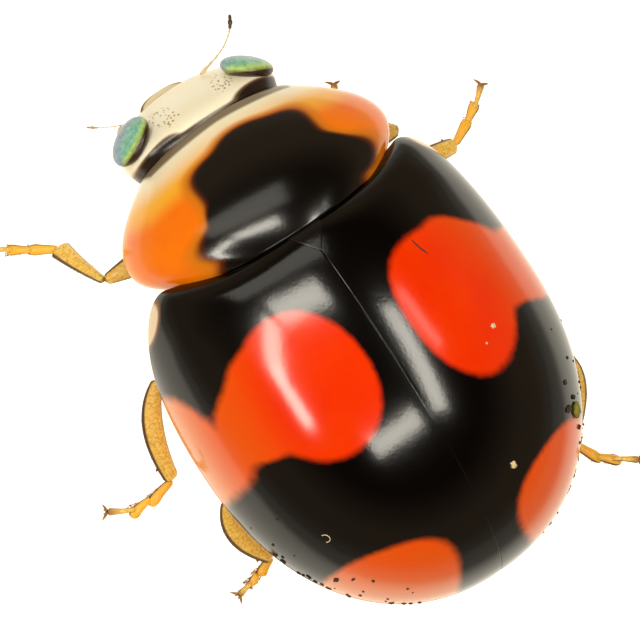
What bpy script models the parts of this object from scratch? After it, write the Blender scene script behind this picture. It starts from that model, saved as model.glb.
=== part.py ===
"""A life-size ladybird, Cheilomenes sexmaculata, standing on its six feet.

The head faces -Y, the beetle's left side is +X and the floor is z = 0. Every piece is a
closed solid in a node of its own: wing cases, pronotum, scutellum, head, eyes, antennae,
mouthparts, the three parts of the underside, and each leg as femur, tibia and tarsus.
"""
import math

import bmesh
import bpy
import numpy as np
from mathutils import Matrix, Vector

MM = 0.001                       # one millimetre in metres

# Driving dimensions of the body.
GAP = 0.04 * MM                  # clearance between neighbouring pieces
PLATE = 0.45 * MM                # thickness of the wing cases and the pronotum
FEELER_THICKNESS = 0.50 * MM
WELD = 1e-7                      # vertices closer than this are one
SHARP_ANGLE = math.radians(40)   # an edge that turns more than this stays sharp

DOME_HALF_WIDTH = 2.27 * MM      # half the width over both wing cases
DOME_Y = -0.40 * MM              # station of the widest and highest point
DOME_FRONT = 3.40 * MM           # from there to where the oval would close in front
DOME_REAR = 2.79 * MM            # from there to the tip of the wing cases
DOME_POWER = 2.20                # 2 is an ellipse; more is fuller at the shoulders
CROWN_Z = 2.69 * MM              # highest point above the floor
MARGIN_Z = 0.95 * MM             # lower edge of the wing cases above the floor
MARGIN_RISE = 0.28 * MM          # how much that edge climbs towards the shoulder
BASE_Y = -2.09 * MM              # front edge of the wing cases at the middle
BASE_SWEEP = 0.26 * MM           # how far that edge runs forward at the shoulder
BASE_SWEEP_TURN = 1.9            # radians: the sweep is greatest at u = (pi / 2) / 1.9
BASE_SWEEP_POWER = 3             # more keeps the sweep nearer to the shoulder
SHOULDER_ROUND = 0.62 * MM       # how far the outer front corner is rounded back
SHOULDER_START = 0.62            # station across, from 0 to 1, where that rounding begins
SHOULDER_POWER = 2.4             # more makes the corner tighter
WING_GRID = (28, 18)             # faces across both wing cases and along them

SHIELD_FRONT_Y = -3.80 * MM      # front edge of the pronotum at the middle
SHIELD_REAR_Y = -2.14 * MM       # hind edge of the pronotum at the middle
SHIELD_FRONT_SWEEP = 0.22 * MM   # how far the front edge falls back at its corners
SHIELD_REAR_SWEEP = 0.20 * MM    # how far the hind edge runs forward at its corners
SHIELD_FRONT_HALF = 1.06 * MM    # half-widths at the front, the widest station, the rear
SHIELD_HALF_WIDTH = 1.76 * MM
SHIELD_REAR_HALF = 1.36 * MM
SHIELD_WIDEST = 0.64             # station of the widest point, from front 0 to rear 1
SHIELD_FRONT_POWER = 1.9         # how the width falls off ahead of it and behind it
SHIELD_REAR_POWER = 2.2
SHIELD_GRID = (22, 9)            # faces across the pronotum and along it
SHIELD_REAR_Z = 2.42 * MM        # height of the crown line at the rear
SHIELD_FALL = 0.30               # slope of the crown line at the rear
SHIELD_CURL = 0.14               # how much steeper it gets per millimetre forward
SHIELD_EDGE_FRONT_Z = 0.98 * MM  # height of the side edge at the front and the rear
SHIELD_EDGE_REAR_Z = 1.36 * MM

SCUTELLUM_WIDTH = 0.46 * MM
SCUTELLUM_LENGTH = 0.34 * MM
SCUTELLUM_DEPTH = 0.40 * MM
SCUTELLUM_AHEAD = 0.01 * MM      # how far it reaches in front of the wing cases
SCUTELLUM_STEPS = 4              # points along each of its slightly bulging sides
SCUTELLUM_BULGE = 1.3            # 1 makes those sides straight
NOTCH_TIP = 2.5                  # the notch's sharp end grows by this many clearances

BELLY_DEPTH = 0.50 * MM          # how far the underside bulges below the wing cases' edge
BELLY_LEVEL = 0.45               # share of that depth which doesn't taper with the width
LEAST_ROOF = 0.10 * MM           # least height of the trunk above its widest line
PROTHORAX_FRONT_Y = -3.40 * MM
WAIST_Y = -2.18 * MM             # between the prothorax and the thorax behind it
NECK_SHARE = 0.88                # width of the prothorax as a share of the pronotum
HIP_Y = 0.15 * MM                # between the thorax and the abdomen
TAIL_Y = 1.84 * MM               # last point of the abdomen
TAIL_POWER = 3.2                 # more is blunter
TRUNK_GRID = (20, 14)            # faces round the trunk and along each of its lengths

HEAD_AT = Vector((0.08, -3.85, 0.95)) * MM
HEAD_HALF = Vector((1.01, 0.47, 0.60)) * MM
HEAD_POWER = 2.9                 # roundness of the head: 2 is an ellipsoid
HEAD_TILT = math.radians(-24)    # the face leans back from mouth to crown
HEAD_ROLL = math.radians(-4)     # the head is turned a little to its left
HEAD_GRID = (28, 16)
LIP_AT = Vector((0.0, -0.24, -0.44)) * MM
LIP_HALF = Vector((0.38, 0.17, 0.18)) * MM
EYE_OUT = Vector((0.74, -0.19, 0.16)) * MM
EYE_HALF = Vector((0.29, 0.26, 0.36)) * MM
EYE_GRID = (14, 9)
LIP_GRID = (16, 10)

# Leg joints in millimetres: hip, knee, ankle and toe. The bow is how far the tibia
# arches outwards between knee and ankle.
LEG_JOINTS = {
    "front_left": ((0.50, -2.76, 0.62), (1.84, -2.84, 0.66), (2.13, -3.46, 0.36), (2.86, -3.97, 0.22)),
    "front_right": ((-0.50, -2.80, 0.62), (-1.83, -2.68, 0.64), (-1.17, -3.00, 0.34), (-1.69, -3.40, 0.22)),
    "middle_left": ((0.62, -1.35, 0.60), (2.06, -1.60, 0.62), (2.51, -0.58, 0.34), (3.38, -0.66, 0.22)),
    "middle_right": ((-0.62, -1.30, 0.60), (-1.36, -2.06, 0.64), (-2.52, -2.02, 0.33), (-3.22, -2.44, 0.22)),
    "hind_left": ((0.62, -0.15, 0.60), (2.12, -0.05, 0.62), (1.98, 0.83, 0.34), (2.62, 1.00, 0.22)),
    "hind_right": ((-0.62, -0.10, 0.60), (-2.05, 0.74, 0.62), (-1.66, 1.66, 0.34), (-2.35, 2.33, 0.22)),
}
TIBIA_BOWS = {
    "front_left": 0.03,
    "front_right": 0.0,
    "middle_left": 0.10,
    "middle_right": 0.03,
    "hind_left": 0.10,
    "hind_right": 0.08,
}
FEMUR_RADIUS = 0.27 * MM
TIBIA_RADIUS = 0.25 * MM
TARSUS_RADIUS = 0.25 * MM
PAST_KNEE = 0.15 * MM            # how far the raw limbs cross at the knee and the ankle
PAST_ANKLE = 0.12 * MM           # before the mitre is cut

# Thickness of the limbs at even steps along them, as shares of their radius.
FEMUR_SWELLING = (0.55, 0.86, 1.0, 1.0, 0.95, 0.88, 0.6)
TIBIA_SWELLING = (0.62, 0.9, 1.0, 1.04, 1.04, 1.0, 0.7)
TARSUS_SWELLING = (0.7, 1.0, 1.08, 0.94, 1.08, 1.0, 0.92, 0.6)
FEELER_SWELLING = (0.9, 0.88, 0.86, 0.9, 1.0, 0.94, 0.5)
LIMB_BEVEL = 2                   # bevel resolution of a limb, which gives 8 sides
PALP_BEVEL = 1

# Feelers in millimetres: root, middle and tip of each.
FEELERS = {
    "left": ((0.66, -4.02, 0.76), (0.86, -4.26, 0.78), (1.14, -4.47, 0.76)),
    "right": ((-0.34, -4.06, 0.74), (-0.60, -4.36, 0.80), (-0.97, -4.66, 0.84)),
}

# The left jaw feeler in millimetres about the head's centre, with its radius there.
PALP_POINTS = ((0.46, -0.04, -0.46), (0.54, -0.10, -0.58), (0.56, -0.24, -0.60), (0.52, -0.38, -0.54))
PALP_RADII = (0.10, 0.11, 0.14, 0.09)

COLOURS = {
    "wing_case_cuticle": (0.02, 0.015, 0.012),
    "pronotum_cuticle": (0.85, 0.22, 0.01),
    "scutellum_cuticle": (0.015, 0.012, 0.01),
    "head_cuticle": (0.87, 0.74, 0.52),
    "eye_cornea": (0.06, 0.22, 0.17),
    "mouth_cuticle": (0.42, 0.24, 0.08),
    "feeler_cuticle": (0.62, 0.45, 0.2),
    "leg_cuticle": (0.72, 0.36, 0.05),
    "belly_cuticle": (0.12, 0.06, 0.02),
}


def material(slot):
    """The part's own glossy cuticle."""
    made = bpy.data.materials.get(slot)
    if made is None:
        made = bpy.data.materials.new(slot)
        made.use_nodes = True
        shader = made.node_tree.nodes["Principled BSDF"]
        shader.inputs["Base Color"].default_value = (*COLOURS[slot], 1.0)
        shader.inputs["Roughness"].default_value = 0.25
        shader.inputs["Metallic"].default_value = 0.0
    return made


def collection(name):
    """A collection of that name in the scene."""
    made = bpy.data.collections.new(name)
    bpy.context.scene.collection.children.link(made)
    return made


def node(name, bm, slot, group):
    """A named object from a bmesh, smooth except at its sharp edges."""
    bmesh.ops.remove_doubles(bm, verts=bm.verts[:], dist=WELD)
    bmesh.ops.dissolve_degenerate(bm, dist=WELD / 10, edges=bm.edges[:])
    bmesh.ops.triangulate(bm, faces=[f for f in bm.faces if len(f.verts) > 4])
    bmesh.ops.recalc_face_normals(bm, faces=bm.faces[:])
    mesh = bpy.data.meshes.new(name)
    bm.to_mesh(mesh)
    bm.free()
    mesh.shade_smooth()
    mesh.set_sharp_from_angle(angle=SHARP_ANGLE)
    mesh.materials.append(material(slot))
    made = bpy.data.objects.new(name, mesh)
    group.objects.link(made)
    return made


def cutter(made):
    """Marks an object as a cutting tool that is not part of the model."""
    made.hide_render = True
    made.display_type = "WIRE"
    return made


def carve(target, tool):
    """Cuts the tool's shape out of the target."""
    cut = target.modifiers.new("carve_" + tool.name, "BOOLEAN")
    cut.operation = "DIFFERENCE"
    cut.object = tool


def slice_off(bm, point, normal):
    """Cuts away all that lies beyond a plane and closes the cut."""
    geometry = bm.verts[:] + bm.edges[:] + bm.faces[:]
    cut = bmesh.ops.bisect_plane(bm, geom=geometry, plane_co=point, plane_no=normal,
                                 dist=WELD / 100, clear_outer=True)
    rim = [e for e in cut["geom_cut"] if isinstance(e, bmesh.types.BMEdge)]
    bmesh.ops.holes_fill(bm, edges=rim, sides=0)


def positions(bm):
    """The vertices' positions as an array."""
    return np.array([v.co[:] for v in bm.verts])


def place(bm, points):
    """Moves the vertices to the rows of an array."""
    for vertex, point in zip(bm.verts, points):
        vertex.co = point


def plate(outer, inner, grid):
    """A curved plate between two surfaces of the same two parameters.

    A flat grid is extruded once; the upper layer goes to outer(u, v) and the lower layer
    to inner(u, v), where u runs from -1 at the right edge to 1 at the left edge and v from
    0 at the front to 1 at the rear.
    """
    bm = bmesh.new()
    bmesh.ops.create_grid(bm, x_segments=grid[0], y_segments=grid[1], size=1.0)
    lifted = bmesh.ops.extrude_face_region(bm, geom=bm.faces[:], use_keep_orig=True)
    for item in lifted["geom"]:
        if isinstance(item, bmesh.types.BMVert):
            item.co.z = 1.0
    flat = positions(bm)
    u, v = flat[:, 0], (flat[:, 1] + 1) / 2
    upper = flat[:, 2:3] > 0.5
    place(bm, np.where(upper, outer(u, v), inner(u, v)))
    return bm


def oval(y):
    """Half-width of the body's oval plan at a station, as a share of the widest."""
    reach = np.where(y < DOME_Y, DOME_FRONT, DOME_REAR)
    share = np.clip(np.abs(y - DOME_Y) / reach, 0.0, 1.0)
    return (1.0 - share ** DOME_POWER) ** (1.0 / DOME_POWER)


def margin_height(y):
    """Height of the wing cases' lower edge: level behind, climbing to the shoulder."""
    forward = np.clip((DOME_Y - y) / (DOME_Y - BASE_Y), 0.0, 1.3)
    return MARGIN_Z + MARGIN_RISE * forward ** 2


def wing_station(u, v):
    """Station along the body of a point of the wing cases.

    The angle runs from the front edge to a quarter turn at the tip. The front edge sweeps
    forward towards the shoulder and is rounded back at its outer corner.
    """
    corner = np.clip((np.abs(u) - SHOULDER_START) / (1 - SHOULDER_START), 0.0, 1.0)
    sweep = BASE_SWEEP * np.sin(np.abs(u) * BASE_SWEEP_TURN) ** BASE_SWEEP_POWER
    front = BASE_Y - sweep + SHOULDER_ROUND * corner ** SHOULDER_POWER
    start = np.arcsin(np.clip((front - DOME_Y) / DOME_FRONT, -1.0, 1.0))
    turn = start + v * (math.pi / 2 - start)
    return DOME_Y + np.where(turn < 0, DOME_FRONT, DOME_REAR) * np.sin(turn)


def wing_surface(u, v, inset):
    """The dome of both wing cases, set in from the outside by the inset.

    Each cross-section is the upper half of an ellipse that stands on the margin. The inset
    never reaches the middle line, and at the tail it also draws the surface forward.
    """
    y = wing_station(u, v)
    share = oval(y)
    edge = margin_height(y)
    inset = np.minimum(inset, 0.92 * DOME_HALF_WIDTH * share)
    half = DOME_HALF_WIDTH * share - inset
    rise = (CROWN_Z - MARGIN_Z) * share + MARGIN_Z - edge - inset
    angle = u * math.pi / 2
    tail = np.clip((y - DOME_Y) / DOME_REAR, 0.0, 1.0)
    x = half * np.sin(angle)
    z = edge + np.maximum(rise, 0.0) * np.cos(angle)
    return np.stack([x, y - inset * tail ** 3, z], axis=1)


def wing_cases(group, tool_group):
    """The two wing cases: one domed plate parted along the suture.

    The scutellum's notch is cut from the front end of the suture.
    """
    notch = scutellum_prism("scutellum_notch", tool_group, GAP)
    cutter(notch)
    for side, sign in (("left", 1), ("right", -1)):
        bm = plate(lambda u, v: wing_surface(u, v, 0.0),
                   lambda u, v: wing_surface(u, v, PLATE), WING_GRID)
        bmesh.ops.remove_doubles(bm, verts=bm.verts[:], dist=WELD)
        slice_off(bm, (sign * GAP / 2, 0, 0), (-sign, 0, 0))
        case = node(side + "_wing_case", bm, "wing_case_cuticle", group)
        carve(case, notch)


def shield_half_width(v):
    """Half-width of the pronotum, with a blunt widest point towards the rear."""
    ahead = np.clip((SHIELD_WIDEST - v) / SHIELD_WIDEST, 0.0, 1.0)
    behind = np.clip((v - SHIELD_WIDEST) / (1 - SHIELD_WIDEST), 0.0, 1.0)
    return (SHIELD_HALF_WIDTH - (SHIELD_HALF_WIDTH - SHIELD_FRONT_HALF) * ahead ** SHIELD_FRONT_POWER
            - (SHIELD_HALF_WIDTH - SHIELD_REAR_HALF) * behind ** SHIELD_REAR_POWER)


def shield_edge_height(v):
    """Height of the pronotum's side edge, from its front to its rear."""
    return SHIELD_EDGE_FRONT_Z + (SHIELD_EDGE_REAR_Z - SHIELD_EDGE_FRONT_Z) * v


def shield_surface(u, v, inset):
    """The pronotum: a shield arched from side to side, falling towards the head."""
    front = SHIELD_FRONT_Y + SHIELD_FRONT_SWEEP * np.abs(u) ** 2
    rear = SHIELD_REAR_Y - SHIELD_REAR_SWEEP * np.abs(u) ** 2
    y = front + v * (rear - front)
    forward = (SHIELD_REAR_Y - y) / MM
    crown = SHIELD_REAR_Z - (SHIELD_FALL + SHIELD_CURL * forward) * forward * MM
    edge = shield_edge_height(v)
    angle = u * math.pi / 2
    x = (shield_half_width(v) - inset) * np.sin(angle)
    z = edge + (crown - inset - edge) * np.cos(angle)
    return np.stack([x, y, z], axis=1)


def pronotum(group, head_tool):
    """The shield behind the head, hollowed at the front where the head sits."""
    bm = plate(lambda u, v: shield_surface(u, v, 0.0),
               lambda u, v: shield_surface(u, v, PLATE), SHIELD_GRID)
    carve(node("pronotum", bm, "pronotum_cuticle", group), head_tool)


def scutellum_prism(name, group, grow):
    """A small triangular shield, point to the rear, sloped to lie in the dome."""
    half = SCUTELLUM_WIDTH / 2 + grow
    front = BASE_Y - SCUTELLUM_AHEAD - grow
    tip = front + SCUTELLUM_LENGTH + NOTCH_TIP * grow
    bm = bmesh.new()
    shares = [step / SCUTELLUM_STEPS for step in range(SCUTELLUM_STEPS)]
    sides = [(half * (1 - share ** SCUTELLUM_BULGE), front + (tip - front) * share) for share in shares]
    outline = sides + [(0.0, tip)] + [(-x, y) for x, y in reversed(sides)]
    base = bm.faces.new([bm.verts.new((x, y, 0)) for x, y in outline])
    raised = bmesh.ops.extrude_face_region(bm, geom=[base], use_keep_orig=True)
    for item in raised["geom"]:
        if isinstance(item, bmesh.types.BMVert):
            item.co.z = SCUTELLUM_DEPTH
    for vertex in bm.verts:
        upper = vertex.co.z > SCUTELLUM_DEPTH / 2
        crown = MARGIN_Z + (CROWN_Z - MARGIN_Z) * float(oval(vertex.co.y))
        vertex.co.z = crown + (grow if upper else -SCUTELLUM_DEPTH - grow)
    return node(name, bm, "scutellum_cuticle", group)


def under_roof(y):
    """Height of the hollow under the pronotum and the wing cases at a station."""
    dome = MARGIN_Z + (CROWN_Z - MARGIN_Z) * oval(y)
    forward = np.maximum(SHIELD_REAR_Y - y, 0.0) / MM
    shield = SHIELD_REAR_Z - (SHIELD_FALL + SHIELD_CURL * forward) * forward * MM
    return np.minimum(dome, shield) - PLATE - 2 * GAP


def shield_share(y):
    """Where a station lies along the pronotum, from 0 at its front to 1 at its rear."""
    return np.clip((y - SHIELD_FRONT_Y) / (SHIELD_REAR_Y - SHIELD_FRONT_Y), 0.0, 1.0)


def seat_height(y):
    """Height at which the trunk is widest: level with the edges of the plates."""
    return np.where(y < WAIST_Y, shield_edge_height(shield_share(y)), margin_height(y))


def core_half_width(y):
    """Half-width of the trunk, clear of the plates above it."""
    shield = shield_half_width(shield_share(y))
    dome = DOME_HALF_WIDTH * oval(y)
    return np.where(y < WAIST_Y, NECK_SHARE * shield, dome) - PLATE - 2 * GAP


def trunk_piece(name, front, rear, rounded, group):
    """A length of the trunk: flat roof arch above, shallow keel below.

    A ball is stretched along the body. Its cross-section is half an ellipse up to the
    hollow's roof and half a flatter one down to the belly. A rounded rear end closes with
    the wing cases' oval, the other ends are cut flat.
    """
    bm = bmesh.new()
    bmesh.ops.create_uvsphere(bm, u_segments=TRUNK_GRID[0], v_segments=TRUNK_GRID[1], radius=1.0)
    ball = positions(bm)
    along = np.arccos(np.clip(ball[:, 2], -1.0, 1.0)) / math.pi
    ring = np.hypot(ball[:, 0], ball[:, 1])
    at_pole = ring < 1e-6
    side = ball[:, 0] / np.where(at_pole, 1.0, ring)
    up = ball[:, 1] / np.where(at_pole, 1.0, ring)
    y = front + (rear - front) * along
    closing = along if rounded else 0.0 * along
    shut = np.sqrt(1.0 - closing ** TAIL_POWER)
    shut = np.where(at_pole, 0.0, shut)
    half = core_half_width(y) * shut
    seat = seat_height(y)
    roof = np.maximum(under_roof(y) - seat, LEAST_ROOF) * shut
    keel = BELLY_DEPTH * (BELLY_LEVEL + (1 - BELLY_LEVEL) * oval(y)) * shut
    z = seat + np.where(up > 0, roof, keel) * up
    place(bm, np.stack([half * side, y, z], axis=1))
    return node(name, bm, "belly_cuticle", group)


def superellipsoid(bm, half, power):
    """Pushes the points of a unit ball out to a superellipsoid of those half-sizes."""
    ball = positions(bm)
    size = (np.abs(ball) ** power).sum(axis=1) ** (-1.0 / power)
    place(bm, ball * size[:, None] * np.array(half))


def head_pose(bm):
    """Leans, rolls and places head pieces that are modelled about the head's centre."""
    turn = Matrix.Rotation(HEAD_ROLL, 4, "Y") @ Matrix.Rotation(HEAD_TILT, 4, "X")
    bm.transform(Matrix.Translation(HEAD_AT) @ turn)


def head_solid(name, grow, group):
    """The head capsule, broad and blunt, with its hind end cut flat at the neck."""
    bm = bmesh.new()
    bmesh.ops.create_uvsphere(bm, u_segments=HEAD_GRID[0], v_segments=HEAD_GRID[1], radius=1.0)
    superellipsoid(bm, HEAD_HALF + Vector((grow, grow, grow)), HEAD_POWER)
    head_pose(bm)
    slice_off(bm, (0, PROTHORAX_FRONT_Y - GAP + grow, 0), (0, 1, 0))
    return node(name, bm, "head_cuticle", group)


def eye_solid(name, sign, grow, group):
    """A compound eye: an oval ball let into the side of the head."""
    bm = bmesh.new()
    bmesh.ops.create_uvsphere(bm, u_segments=EYE_GRID[0], v_segments=EYE_GRID[1], radius=1.0)
    half = EYE_HALF + Vector((grow, grow, grow))
    out = Vector((sign * EYE_OUT.x, EYE_OUT.y, EYE_OUT.z))
    bm.transform(Matrix.Translation(out) @ Matrix.Diagonal((*half, 1.0)))
    head_pose(bm)
    return node(name, bm, "eye_cornea", group)


def tube(points, radii, bevel):
    """A round limb that follows points, with a radius of its own at each.

    It starts as a bevelled curve, whose caps are welded once it has become a mesh.
    """
    curve = bpy.data.curves.new("limb", "CURVE")
    curve.dimensions = "3D"
    curve.bevel_depth = 1.0
    curve.bevel_resolution = bevel
    curve.use_fill_caps = True
    spline = curve.splines.new("POLY")
    spline.points.add(len(points) - 1)
    for knot, point, radius in zip(spline.points, points, radii):
        knot.co = (*point, 1.0)
        knot.radius = radius
    guide = bpy.data.objects.new("limb_guide", curve)
    bpy.context.scene.collection.objects.link(guide)
    graph = bpy.context.evaluated_depsgraph_get()
    mesh = bpy.data.meshes.new_from_object(guide.evaluated_get(graph))
    bm = bmesh.new()
    bm.from_mesh(mesh)
    bpy.data.objects.remove(guide)
    bpy.data.meshes.remove(mesh)
    bmesh.ops.remove_doubles(bm, verts=bm.verts[:], dist=WELD)
    return bm


def limb_points(start, end, bow, reach_start, reach_end, count):
    """Points along an arched limb that runs a little past both its joints.

    The arch is a parabola of height bow, sideways and level with the floor.
    """
    axis = (end - start).normalized()
    sideways = Vector((axis.y, -axis.x, 0.0)).normalized()
    if sideways.x * start.x < 0:
        sideways.negate()
    first = start - axis * reach_start
    last = end + axis * reach_end
    points = []
    for step in range(count):
        share = step / (count - 1)
        points.append(first.lerp(last, share) + sideways * bow * 4 * share * (1 - share))
    return points


def joint_plane(before, joint, after):
    """The mitre plane between two limbs that meet at a joint."""
    turn = (joint - before).normalized() + (after - joint).normalized()
    return joint, turn.normalized()


def mitre(bm, plane, keep_before):
    """Cuts a limb off at a joint's plane, half the clearance short of it."""
    point, normal = plane
    side = 1 if keep_before else -1
    slice_off(bm, point - normal * side * GAP / 2, normal * side)


def femur_piece(name, hip, knee, plane, group, tool_group):
    """The spindle-shaped femur, and the fatter copy that beds it into the underside."""
    line = limb_points(hip, knee, 0.0, 0.0, PAST_KNEE, len(FEMUR_SWELLING))
    femur = tube(line, [FEMUR_RADIUS * share for share in FEMUR_SWELLING], LIMB_BEVEL)
    mitre(femur, plane, True)
    node(name + "_femur", femur, "leg_cuticle", group)
    bed = tube(line, [FEMUR_RADIUS * share + GAP for share in FEMUR_SWELLING], LIMB_BEVEL)
    return cutter(node(name + "_femur_bed", bed, "leg_cuticle", tool_group))


def tibia_piece(name, knee, ankle, knee_plane, ankle_plane, group):
    """The tibia, arched and a little thicker towards the ankle."""
    bow = TIBIA_BOWS[name] * MM
    line = limb_points(knee, ankle, bow, PAST_KNEE, PAST_ANKLE, len(TIBIA_SWELLING))
    tibia = tube(line, [TIBIA_RADIUS * share for share in TIBIA_SWELLING], LIMB_BEVEL)
    mitre(tibia, knee_plane, False)
    mitre(tibia, ankle_plane, True)
    node(name + "_tibia", tibia, "leg_cuticle", group)


def tarsus_piece(name, ankle, toe, plane, group):
    """The lobed foot, laid level and cut flat where it stands on the floor."""
    line = limb_points(ankle, toe, 0.0, PAST_ANKLE, 0.0, len(TARSUS_SWELLING))
    for point in line:
        point.z = toe.z
    tarsus = tube(line, [TARSUS_RADIUS * share for share in TARSUS_SWELLING], LIMB_BEVEL)
    mitre(tarsus, plane, False)
    slice_off(tarsus, (0, 0, 0), (0, 0, -1))
    node(name + "_tarsus", tarsus, "leg_cuticle", group)


def leg(name, group, tool_group):
    """One leg of three pieces, mitred at the knee and the ankle."""
    hip, knee, ankle, toe = (Vector(joint) * MM for joint in LEG_JOINTS[name])
    knee_plane = joint_plane(hip, knee, ankle)
    ankle_plane = joint_plane(knee, ankle, toe)
    tibia_piece(name, knee, ankle, knee_plane, ankle_plane, group)
    tarsus_piece(name, ankle, toe, ankle_plane, group)
    return femur_piece(name, hip, knee, knee_plane, group, tool_group)


def feeler(side, group, tools):
    """An antenna: a short bent rod that thickens into a club at its tip."""
    root, middle, tip = (Vector(point) * MM for point in FEELERS[side])
    last = len(FEELER_SWELLING) - 1
    points = []
    for step in range(last + 1):
        share = step / last
        points.append(root * (1 - share) ** 2 + middle * 2 * share * (1 - share) + tip * share ** 2)
    bm = tube(points, [FEELER_THICKNESS / 2 * share for share in FEELER_SWELLING], LIMB_BEVEL)
    made = node(side + "_antenna", bm, "feeler_cuticle", group)
    for tool in tools:
        carve(made, tool)


def mouthparts(group, tools):
    """The upper lip over the jaws: a rounded plate that closes the front of the head."""
    bm = bmesh.new()
    bmesh.ops.create_uvsphere(bm, u_segments=LIP_GRID[0], v_segments=LIP_GRID[1], radius=1.0)
    superellipsoid(bm, LIP_HALF, HEAD_POWER)
    bmesh.ops.translate(bm, vec=LIP_AT, verts=bm.verts[:])
    head_pose(bm)
    made = node("mouthparts", bm, "mouth_cuticle", group)
    for tool in tools:
        carve(made, tool)


def palp(side, sign, group, tools):
    """A jaw feeler that ends in a broad hatchet-shaped joint."""
    points = [Vector((sign * x, y, z)) * MM for x, y, z in PALP_POINTS]
    bm = tube(points, [radius * MM for radius in PALP_RADII], PALP_BEVEL)
    head_pose(bm)
    made = node(side + "_palp", bm, "mouth_cuticle", group)
    for tool in tools:
        carve(made, tool)


def centre_on_floor(model, tools):
    """Puts the middle of the model's plan at the origin, by the pieces' parent empty."""
    bpy.context.view_layer.update()
    graph = bpy.context.evaluated_depsgraph_get()
    corners = []
    for made in model.objects:
        shape = made.evaluated_get(graph).to_mesh()
        corners.extend((v.co.x, v.co.y) for v in shape.vertices)
    low, high = np.min(corners, axis=0), np.max(corners, axis=0)
    stand = bpy.data.objects.new("ladybird_stance", None)
    stand.location = (-(low[0] + high[0]) / 2, -(low[1] + high[1]) / 2, 0.0)
    bpy.context.scene.collection.objects.link(stand)
    for made in list(model.objects) + list(tools.objects):
        made.parent = stand


def build():
    """Clears the scene and makes every piece of the ladybird."""
    for old in list(bpy.data.objects):
        bpy.data.objects.remove(old)
    model = collection("ladybird")
    tools = collection("cutters")

    head_tool = cutter(head_solid("head_tool", GAP, tools))
    eye_tools = {}
    for side, sign in (("left", 1), ("right", -1)):
        eye_tools[side] = cutter(eye_solid(side + "_eye_tool", sign, GAP / 2, tools))
        eye_solid(side + "_eye", sign, 0.0, model)
    head = head_solid("head", 0.0, model)
    carve(head, eye_tools["left"])
    carve(head, eye_tools["right"])

    wing_cases(model, tools)
    pronotum(model, head_tool)
    scutellum_prism("scutellum", model, 0.0)

    prothorax = trunk_piece("prothorax", PROTHORAX_FRONT_Y, WAIST_Y - GAP / 2, False, model)
    thorax = trunk_piece("thorax", WAIST_Y + GAP / 2, HIP_Y - GAP / 2, False, model)
    abdomen = trunk_piece("abdomen", HIP_Y + GAP / 2, TAIL_Y, True, model)
    for name in LEG_JOINTS:
        bed = leg(name, model, tools)
        for trunk in (prothorax, thorax, abdomen):
            carve(trunk, bed)

    for side in ("left", "right"):
        feeler(side, model, [head_tool, eye_tools[side]])
    mouthparts(model, [head_tool])
    palp("left", 1, model, [head_tool])
    palp("right", -1, model, [head_tool])
    centre_on_floor(model, tools)


build()
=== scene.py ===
"""A life-size ladybird for a museum case: its looks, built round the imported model."""

import bmesh
import bpy
import numpy as np
from mathutils import Matrix, Vector


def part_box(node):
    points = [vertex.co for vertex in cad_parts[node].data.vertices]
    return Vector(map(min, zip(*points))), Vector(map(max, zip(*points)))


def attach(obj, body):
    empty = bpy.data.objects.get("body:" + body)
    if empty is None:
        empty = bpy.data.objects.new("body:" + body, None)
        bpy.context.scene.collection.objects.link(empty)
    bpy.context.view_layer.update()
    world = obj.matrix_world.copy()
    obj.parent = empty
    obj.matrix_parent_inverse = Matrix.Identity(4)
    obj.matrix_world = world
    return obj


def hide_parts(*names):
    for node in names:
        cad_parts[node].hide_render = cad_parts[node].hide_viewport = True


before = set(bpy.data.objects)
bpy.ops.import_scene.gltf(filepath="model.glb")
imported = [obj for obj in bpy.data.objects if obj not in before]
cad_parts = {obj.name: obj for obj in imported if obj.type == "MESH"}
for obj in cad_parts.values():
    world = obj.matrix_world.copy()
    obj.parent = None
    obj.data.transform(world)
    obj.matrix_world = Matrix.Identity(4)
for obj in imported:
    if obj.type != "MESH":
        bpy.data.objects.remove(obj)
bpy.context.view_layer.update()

# The beetle's own frame, in which every shape is worked out: millimetres, x to its left,
# y to its tail and z up. The suture is at x = 0 and the tips of the wing cases at y = 2.39.
MM = 0.001
TIP_Y = 2.39
left_low, left_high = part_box("left_wing_case")
right_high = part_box("right_wing_case")[1]
ORIGIN = np.array([(left_low.x + right_high.x) / 2, left_high.y - TIP_Y * MM, 0.0])


# --- Underside ---
# The trunk is dark brown cuticle in hard plates: one round the front legs, one round the
# middle and hind legs, and an abdomen of overlapping belly plates. All of it hangs under
# the pronotum and the wing cases.

# The egg-shaped plan of the body and the dome over it: the widest station, the half-width
# there, the reach before and behind it, and the heights of the crown and of the edge.
DOME_Y = -0.40
DOME_HALF = 2.27
DOME_FRONT = 3.40
DOME_REAR = 2.79
CROWN_Z = 2.69
MARGIN_Z = 0.95
MARGIN_RISE = 0.28
MARGIN_CLIMB = 1.69


def oval(y, power=2.2):
    """Half-width of the body's egg-shaped plan at a station, as a share of the widest:
    (1 - t ** power) ** (1 / power), where t runs from 0 at the widest station to 1 where
    the egg closes."""
    reach = np.where(y < DOME_Y, DOME_FRONT, DOME_REAR)
    t = np.clip(np.abs(y - DOME_Y) / reach, 0.0, 1.0)
    return (1 - t ** power) ** (1 / power)


def dome_half(y):
    """Half-width of the dome at a station."""
    return DOME_HALF * oval(y)


def dome_rise(y):
    """How far the dome's crown line stands over the level part of its edge at a station."""
    return (CROWN_Z - MARGIN_Z) * oval(y, 2.0)


def margin_height(y):
    """Height of the wing cases' edge, which climbs with the square of the distance in front
    of the widest station."""
    forward = np.clip((DOME_Y - y) / MARGIN_CLIMB, 0.0, 1.3)
    return MARGIN_Z + MARGIN_RISE * forward ** 2


def signed(value, power):
    """A power of the value's size that keeps its sign; under 1 it squares off a circle."""
    return np.sign(value) * np.abs(value) ** power


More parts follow.
